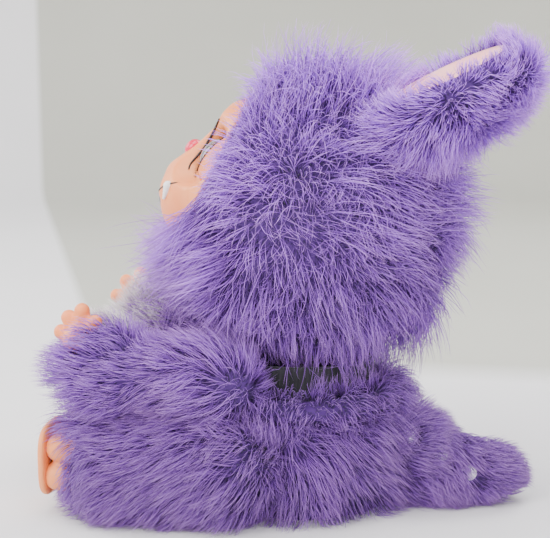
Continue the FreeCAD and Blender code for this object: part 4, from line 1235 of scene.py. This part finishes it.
def turned(name, profile, centre, axis, material, spokes=48):
    """A surface turned about an axis from (radius, height) points."""
    axis = unit(np.asarray(axis, float))
    helper = np.array((1.0, 0, 0)) if abs(axis[0]) < 0.8 else np.array((0, 0, 1.0))
    across = unit(np.cross(axis, helper))
    over = np.cross(axis, across)
    angles = np.linspace(0, 2 * math.pi, spokes, endpoint=False)
    arms = [across * math.cos(angle) + over * math.sin(angle) for angle in angles]
    points = [np.asarray(centre) + arm * radius + axis * height for radius, height in profile for arm in arms]
    last = len(profile) - 1
    quads, corner_uvs = [], []
    for i in range(last):
        quads += band(i * spokes, (i + 1) * spokes, spokes)
        near, far = i / last, (i + 1) / last
        for k in range(spokes):
            left, right = k / spokes, (k + 1) / spokes
            corner_uvs += [(left, near), (right, near), (right, far), (left, far)]
    return quad_mesh(name, points, quads, material, corner_uvs)


def tube(name, line, radii, material, closed=False):
    """A round bar along a line of points, with its own radius at each."""
    line, radii = np.asarray(line, float), np.asarray(radii, float)
    ahead = np.roll(line, -1, axis=0) - np.roll(line, 1, axis=0)
    if not closed:
        ahead[0], ahead[-1] = line[1] - line[0], line[-1] - line[-2]
    ahead = unit(ahead)
    helper = np.array((0.31, 0.17, 0.93))
    across = unit(np.cross(ahead, helper))
    over = np.cross(ahead, across)
    angles = np.linspace(0, 2 * math.pi, TUBE_SPOKES, endpoint=False)
    points = [line[i] + radii[i] * (across[i] * math.cos(a) + over[i] * math.sin(a))
              for i in range(len(line)) for a in angles]
    count = len(line)
    quads = [quad for i in range(count if closed else count - 1)
             for quad in band(i * TUBE_SPOKES, (i + 1) % count * TUBE_SPOKES, TUBE_SPOKES)]
    return quad_mesh(name, points, quads, material)


def eye(side):
    """Glossy eye with a slightly raised clear front."""
    centre = head_points(EYE_CENTRES[side])
    lean = 0.10 if side == "left" else -0.10
    axis = FORWARD + np.array((lean, 0, 0)) - UPWARD * 0.02
    profile = []
    for step in range(65):
        angle = math.pi * step / 64
        raised = 0.15 * max(0.0, 1 - (angle / 0.5) ** 2)
        reach = (EYE_RADIUS + raised) * MM
        profile.append((max(reach * math.sin(angle), 0.02 * MM), reach * math.cos(angle)))
    globe = turned(f"eye_{side}", profile, centre, axis, FINISHES["eye_gloss"], 64)
    settle(globe, "head", f"eyeball_{side}")


def eyelid(side):
    """The CAD lid drawn in to close over the eye without touching the face skin."""
    node = f"eyelid_{side}"
    lid = linked(f"lid_skin_{side}", frame["nodes"][node].data.copy())
    centre = head_points(EYE_CENTRES[side])
    set_points(lid.data, centre + (point_array(lid.data) - centre) * LID_SHRINK)
    lid.data.materials.clear()
    lid.data.materials.append(FINISHES["lid_vinyl"])
    settle(lid, "eyelids", node)


def eye_outline(side):
    """Dark moulded line round the eye opening, heavier along the inner and the upper edge, where the extra width
    is painted shadow of the rim.
    """
    centre, inward = EYE_CENTRES[side], -SIDES[side]
    line, radii = [], []
    for turn in np.linspace(0, 2 * math.pi, 96, endpoint=False):
        across, up = EYE_OPEN[0] * math.cos(turn), EYE_OPEN[1] * math.sin(turn)
        line.append(head_points(on_socket(centre, across, up, 0.1)))
        # painted shadow of the rim widens the line along the inner and the upper edge
        rim_shadow_width = max(0.0, 0.7 * math.cos(turn) * inward + 0.7 * math.sin(turn))
        radii.append((0.42 + 0.5 * rim_shadow_width) * MM)
    ring = tube(f"eye_line_{side}", line, radii, FINISHES["lash_brown"], True)
    settle(ring, "head")


def on_face(side, up):
    """The point of the face at a place to the side and up from the head centre, in millimetres."""
    forward = 74.0
    for _ in range(6):
        alpha, beta = math.atan2(side, forward), math.atan2(up, math.hypot(side, forward))
        reach = float(face_reach(np.array([alpha]), np.array([beta]))[0])
        forward = math.sqrt(reach ** 2 - side ** 2 - up ** 2)
    return np.array((side, forward, up))


def eye_crease_shade(side):
    """Dark line on the inner side of the eye, up on the bridge of the nose: painted shade in the crease there."""
    centre = EYE_CENTRES[side]
    line, radii = [], []
    for turn in np.radians(np.linspace(112, 248, 48)):
        across, up = 12.4 * math.cos(turn) * SIDES[side], 18.5 * math.sin(turn)
        line.append(head_points(on_face(centre[0] + across, centre[2] + up) + (0, 0.4, 0)))
        radii.append((0.25 + 0.5 * abs(math.cos(turn))) * MM)
    ridge = tube(f"eye_crease_shade_{side}", line, radii, FINISHES["lash_brown"])
    settle(ridge, "head")


def mouth_seam():
    """Dark line where the lips meet."""
    alpha = np.radians(np.linspace(-30, 30, 97))
    beta = mouth_line(alpha)
    pout = 1.1 * np.exp(-(np.degrees(alpha) / 19) ** 2)
    places = directions(alpha, beta) * (face_reach(alpha, beta) + pout)[:, None]
    radii = 0.55 * MM * np.clip(1.15 - (np.degrees(alpha) / 30) ** 4, 0.2, 1)
    seam = tube("mouth_seam", head_points(places), radii, FINISHES["lash_brown"])
    settle(seam, "head")


def lashes(side, seed):
    """Short lashes round the outer and lower edge of the eye opening."""
    rng = np.random.default_rng(seed)
    centre, outward = EYE_CENTRES[side], SIDES[side]
    paths = []
    for turn in np.linspace(-2.3, 1.2, 54):
        angle = turn + rng.uniform(-0.02, 0.02)
        across = EYE_OPEN[0] * math.cos(angle) * outward
        up = EYE_OPEN[1] * math.sin(angle)
        root = on_socket(centre, across, up)
        out = unit(np.array((across, 0, up)))
        length = rng.uniform(1.6, 2.6)
        path = [root + out * length * share + np.array((0, 1.0, 0)) * length * 0.5 * share ** 1.5
                for share in np.linspace(0, 1, 5)]
        paths.append(head_points(np.array(path)))
    radii = np.full(len(paths), 0.13 * MM)
    piece = hair_mesh(f"eye_lashes_{side}", np.array(paths), radii, rng.random(len(paths)),
                      FINISHES["lash_brown"])
    settle(piece, "head")


def nose():
    """Domed button nose with a soft edge, set where the CAD button's front is."""
    places = to_head(point_array(frame["nodes"]["nose_button"].data))
    tip = places[:, 1].max()
    front = places[places[:, 1] > tip - 4]
    base = head_points((0, tip - 7.6, (front[:, 2].min() + front[:, 2].max()) / 2))
    profile = [(0.01, 7.6), (1.8, 7.45), (3.4, 6.9), (4.7, 5.9), (5.6, 4.6), (6.0, 3.0), (5.95, 1.2),
               (5.5, 0.0), (0.01, 0.0)]
    fine = []
    for i in range(len(profile) - 1):
        for share in (0, 0.5):
            fine.append(tuple(a + (b - a) * share for a, b in zip(profile[i], profile[i + 1])))
    fine.append(profile[-1])
    dome = turned("nose_dome", np.array(fine) * MM, base, FORWARD, FINISHES["nose_gloss"])
    modify(dome, ("SMOOTH", {"iterations": 3}))
    settle(dome, "nose", "nose_button")


def tongue():
    """Tongue that comes out over the lower lip and curls down, with a groove along it."""
    spine = np.array(((58, -43.0), (66, -44.2), (73, -44.8), (76.9, -45.4), (76.4, -48.2), (73.8, -51.6),
                      (70.4, -54.6)))
    columns, half_width, thickness = 17, 9.0, 2.2
    top, under = [], []
    ahead = unit(np.gradient(spine, axis=0))
    for i, ((forward, up), (run, rise)) in enumerate(zip(spine, ahead)):
        taper = math.sqrt(max(0.05, 1 - (i / (len(spine) - 1)) ** 5 * 0.9))
        upper_row, under_row = [], []
        for share in np.linspace(-1, 1, columns):
            side = share * half_width * taper
            half = thickness / 2 * math.sqrt(max(0.0, 1 - share ** 4))
            groove = 0.5 * math.exp(-(share / 0.16) ** 2)
            droop = -1.6 * share ** 2
            for row, lift in ((upper_row, half - groove), (under_row, -half)):
                row.append((side, forward - rise * (lift + droop), up + run * (lift + droop)))
        top.append(upper_row)
        under.append(under_row)
    grids = [(np.array(top), None, False), (np.array(under), None, True)]
    piece = grid_piece("tongue_curl", grids, FINISHES["mouth_slate"])
    modify(piece, ("WELD", {"merge_threshold": 0.35 * MM}), ("SUBSURF", {"levels": 2, "render_levels": 2}))
    settle(piece, "jaw", "tongue")


def blob(name, balls, voxel, smoothing, material):
    """Balls melted into one smooth form; balls are (centre, radius) in the row frame."""
    form = bmesh.new()
    for centre, radius in balls:
        made = bmesh.ops.create_icosphere(form, subdivisions=3, radius=radius)
        bmesh.ops.translate(form, verts=made["verts"], vec=Vector(centre))
    mesh = bpy.data.meshes.new(name)
    form.to_mesh(mesh)
    form.free()
    mesh.materials.append(material)
    piece = linked(name, mesh)
    remesh(piece, voxel, smoothing)
    shade_smooth(piece.data)
    return piece


def chain(start, end, first, last, steps):
    """Balls along a line, from radius first to radius last."""
    start, end = np.asarray(start, float), np.asarray(end, float)
    return [(start + (end - start) * share, first + (last - first) * share)
            for share in np.linspace(0, 1, steps)]


def teeth():
    """Two small upper fangs with rounded points."""
    balls = []
    for sign in SIDES.values():
        lean = np.array((sign * 0.35, 0.8, -0.45))
        root = head_points(on_face(sign * 25.0, -35.5) + lean * 0.2)
        tip = head_points(on_face(sign * 25.0, -42.5) + lean * 0.9)
        balls += chain(root, tip, 2.9 * MM, 1.0 * MM, 9)
    piece = blob("upper_fangs", balls, 0.5 * MM, 3, FINISHES["tooth_white"])
    settle(piece, "head", "upper_teeth")


def mouth_lining():
    """Dark lining behind the lips."""
    balls = chain(head_points((-14, 58, -46)), head_points((14, 58, -46)), 11 * MM, 11 * MM, 9)
    piece = blob("mouth_lining", balls, 1.2 * MM, 4, FINISHES["mouth_slate"])
    settle(piece, "head")


def face_pieces():
    face_skin()
    jaw_skin()
    for number, side in enumerate(SIDES):
        eye(side)
        eyelid(side)
        eye_outline(side)
        eye_crease_shade(side)
        lashes(side, 71 + number)
    nose()
    tongue()
    mouth_seam()
    teeth()
    mouth_lining()


# ---- hands, feet, collar and studs

FINGERS = ((-74, 14.5, 4.6), (-32, 15.5, 4.7), (2, 18.0, 4.6), (36, 15.5, 4.2))
PALM_RADIUS = 11.5 * MM
# how square the sole is: 2 is an oval
SOLE_POWER = 3.2


def hand(side):
    """Soft moulded hand: a palm with four short rounded fingers."""
    low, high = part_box(f"hand_{side}")
    palm = np.array(((low.x + high.x) / 2, high.y - 13 * MM, low.z + 13 * MM))
    balls = [(palm, PALM_RADIUS)]
    for number, (lean, reach, radius) in enumerate(FINGERS):
        angle = math.radians(lean)
        aside = (-4.5 + 3.0 * number) * SIDES[side]
        tip = palm + np.array((aside, reach * math.sin(angle), reach * math.cos(angle))) * MM
        balls += chain(palm, tip, 5.4 * MM, radius * MM, 9)
    piece = blob(f"hand_skin_{side}", balls, 0.9 * MM, 5, FINISHES["face_vinyl"])
    settle(piece, f"arm_{side}", f"hand_{side}")


def rounded_outline(half_width, half_height, power, spokes):
    """A squared oval."""
    angles = np.linspace(0, 2 * math.pi, spokes, endpoint=False)
    across = np.sign(np.cos(angles)) * np.abs(np.cos(angles)) ** (2 / power) * half_width
    up = np.sign(np.sin(angles)) * np.abs(np.sin(angles)) ** (2 / power) * half_height
    return np.stack([across, up], axis=1)


def stacked(name, layers, centre, spokes, material):
    """A closed form from outlines stacked backward: layers are (depth, half width, half height) in mm."""
    points = []
    for depth, half_width, half_height in layers:
        for across, up in rounded_outline(half_width, half_height, SOLE_POWER, spokes):
            points.append(np.array(centre) + np.array((across, depth, up)) * MM)
    quads = [(a, d, c, b) for i in range(len(layers) - 1)
             for a, b, c, d in band(i * spokes, (i + 1) * spokes, spokes)]
    return quad_mesh(name, points, quads, material)


def foot(side):
    """Sole plate with a rounded edge, and the foot behind it with a crease on its side and three toes."""
    low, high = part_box(f"foot_{side}")
    centre = ((low.x + high.x) / 2, low.y, (low.z + high.z) / 2)
    half_width, half_height = (high.x - low.x) / 2 / MM, (high.z - low.z) / 2 / MM
    # how far back each outline lies, and how far in it is from the sole's edge
    steps = ((0.0, 1.6), (0.35, 0.5), (1.2, 0), (2.6, 0), (3.5, 0.7), (3.8, 2.4))
    layers = [(1.0, 0.05, 0.05), (0.35, half_width * 0.6, half_height * 0.6)]
    layers += [(depth, half_width - inset, half_height - inset) for depth, inset in steps]
    layers.append((4.2, 0.05, 0.05))
    sole = stacked(f"foot_sole_{side}", layers, centre, 96, FINISHES["foot_vinyl"])
    balls = []
    for row_up, tall, bulge in ((8.5, 8.6, 0.0), (-8.0, 9.2, -0.8)):
        for across in (-12.5, 0, 12.5):
            front = np.array(centre) + np.array((across, 10.5 + bulge, row_up)) * MM
            back = front + np.array((0, 14, 0)) * MM
            balls += chain(front, back, (tall - 0.4) * MM, tall * MM, 5)
    block = blob(f"foot_toes_{side}", balls, 1.1 * MM, 4, FINISHES["foot_vinyl"])
    settle(sole, "torso", f"foot_{side}")
    settle(block, "torso")


def collar():
    """Ribbed knit ring round the neck."""
    low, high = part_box("neck_collar")
    centre = Vector(((low.x + high.x) / 2, (low.y + high.y) / 2, 0))
    outer, wall = (high.x - low.x) / 2, 3 * MM
    spokes, ribs = 360, 72
    section = [(outer - wall, high.z - 1 * MM)]
    section += [(outer - wall / 2 + wall / 2 * math.cos(a), high.z - wall / 2 + wall / 2 * math.sin(a))
                for a in np.linspace(math.pi * 0.75, 0, 5)]
    section += [(outer, low.z + (high.z - low.z) * share) for share in np.linspace(0.8, 0.15, 10)]
    section += [(outer - wall / 2, low.z), (outer - wall, low.z + 1 * MM)]
    points = []
    for spoke in range(spokes):
        angle = 2 * math.pi * spoke / spokes
        rib = 0.45 * MM * math.cos(ribs * angle)
        for radius, height in section:
            out = radius + (rib if radius > outer - wall * 0.6 else 0)
            points.append(centre + Vector((out * math.cos(angle), out * math.sin(angle), height)))
    count = len(section)
    quads = [quad for spoke in range(spokes)
             for quad in band(spoke * count, (spoke + 1) % spokes * count, count)]
    ring = quad_mesh("collar_knit", points, quads, FINISHES["knit_black"])
    settle(ring, "torso", "neck_collar")


def studs():
    """Domed metal studs with a rolled rim, set along the tail's left side."""
    places = loose_parts(frame["nodes"]["tail_studs"].data)
    for number, points in enumerate(sorted(places, key=lambda part: part[:, 1].mean())):
        centre = points.mean(axis=0)
        axis = thin_axis(points)
        axis = axis * np.sign(axis[0])
        profile = [(0.01, 3.1), (1.2, 3.0), (2.2, 2.8), (3.0, 2.4), (3.4, 2.1), (3.6, 1.9), (3.9, 2.1),
                   (4.3, 2.1), (4.6, 1.8), (4.65, 1.4), (4.5, 1.1), (4.2, 0.8), (0.01, 0.8)]
        cap = turned(f"tail_stud_{number + 1}", np.array(profile) * MM, centre + axis * 0.9 * MM, axis,
                     FINISHES["stud_metal"])
        settle(cap, "torso", None if number else "tail_studs")


def loose_parts(mesh):
    """The points of each separate solid in a mesh, found by joining points that share a face."""
    form = bmesh.new()
    form.from_mesh(mesh)
    bmesh.ops.remove_doubles(form, verts=form.verts, dist=0.01 * MM)
    form.verts.ensure_lookup_table()
    left, parts = set(form.verts), []
    while left:
        stack, part = [left.pop()], []
        while stack:
            vertex = stack.pop()
            part.append(tuple(vertex.co))
            for edge in vertex.link_edges:
                other = edge.other_vert(vertex)
                if other in left:
                    left.discard(other)
                    stack.append(other)
        parts.append(np.array(part))
    form.free()
    return parts


def thin_axis(points):
    """The direction in which a disc of points is thinnest."""
    centred = points - points.mean(axis=0)
    return np.linalg.svd(centred, full_matrices=False)[2][-1]


def limb_pieces():
    for side in SIDES:
        hand(side)
        foot(side)
    collar()
    studs()


# ---- the whole pet

def plush_pieces():
    head_pile(head_skin())
    body_skin_and_pile()
    neck_plush()
    for side in SIDES:
        leg_skin_and_pile(side)
        arm_skin_and_pile(side)
        ear_pieces(side)
    tail_skin_and_pile()


finish_cad_nodes()
face_pieces()
limb_pieces()
plush_pieces()
stage_set()
camera_set()
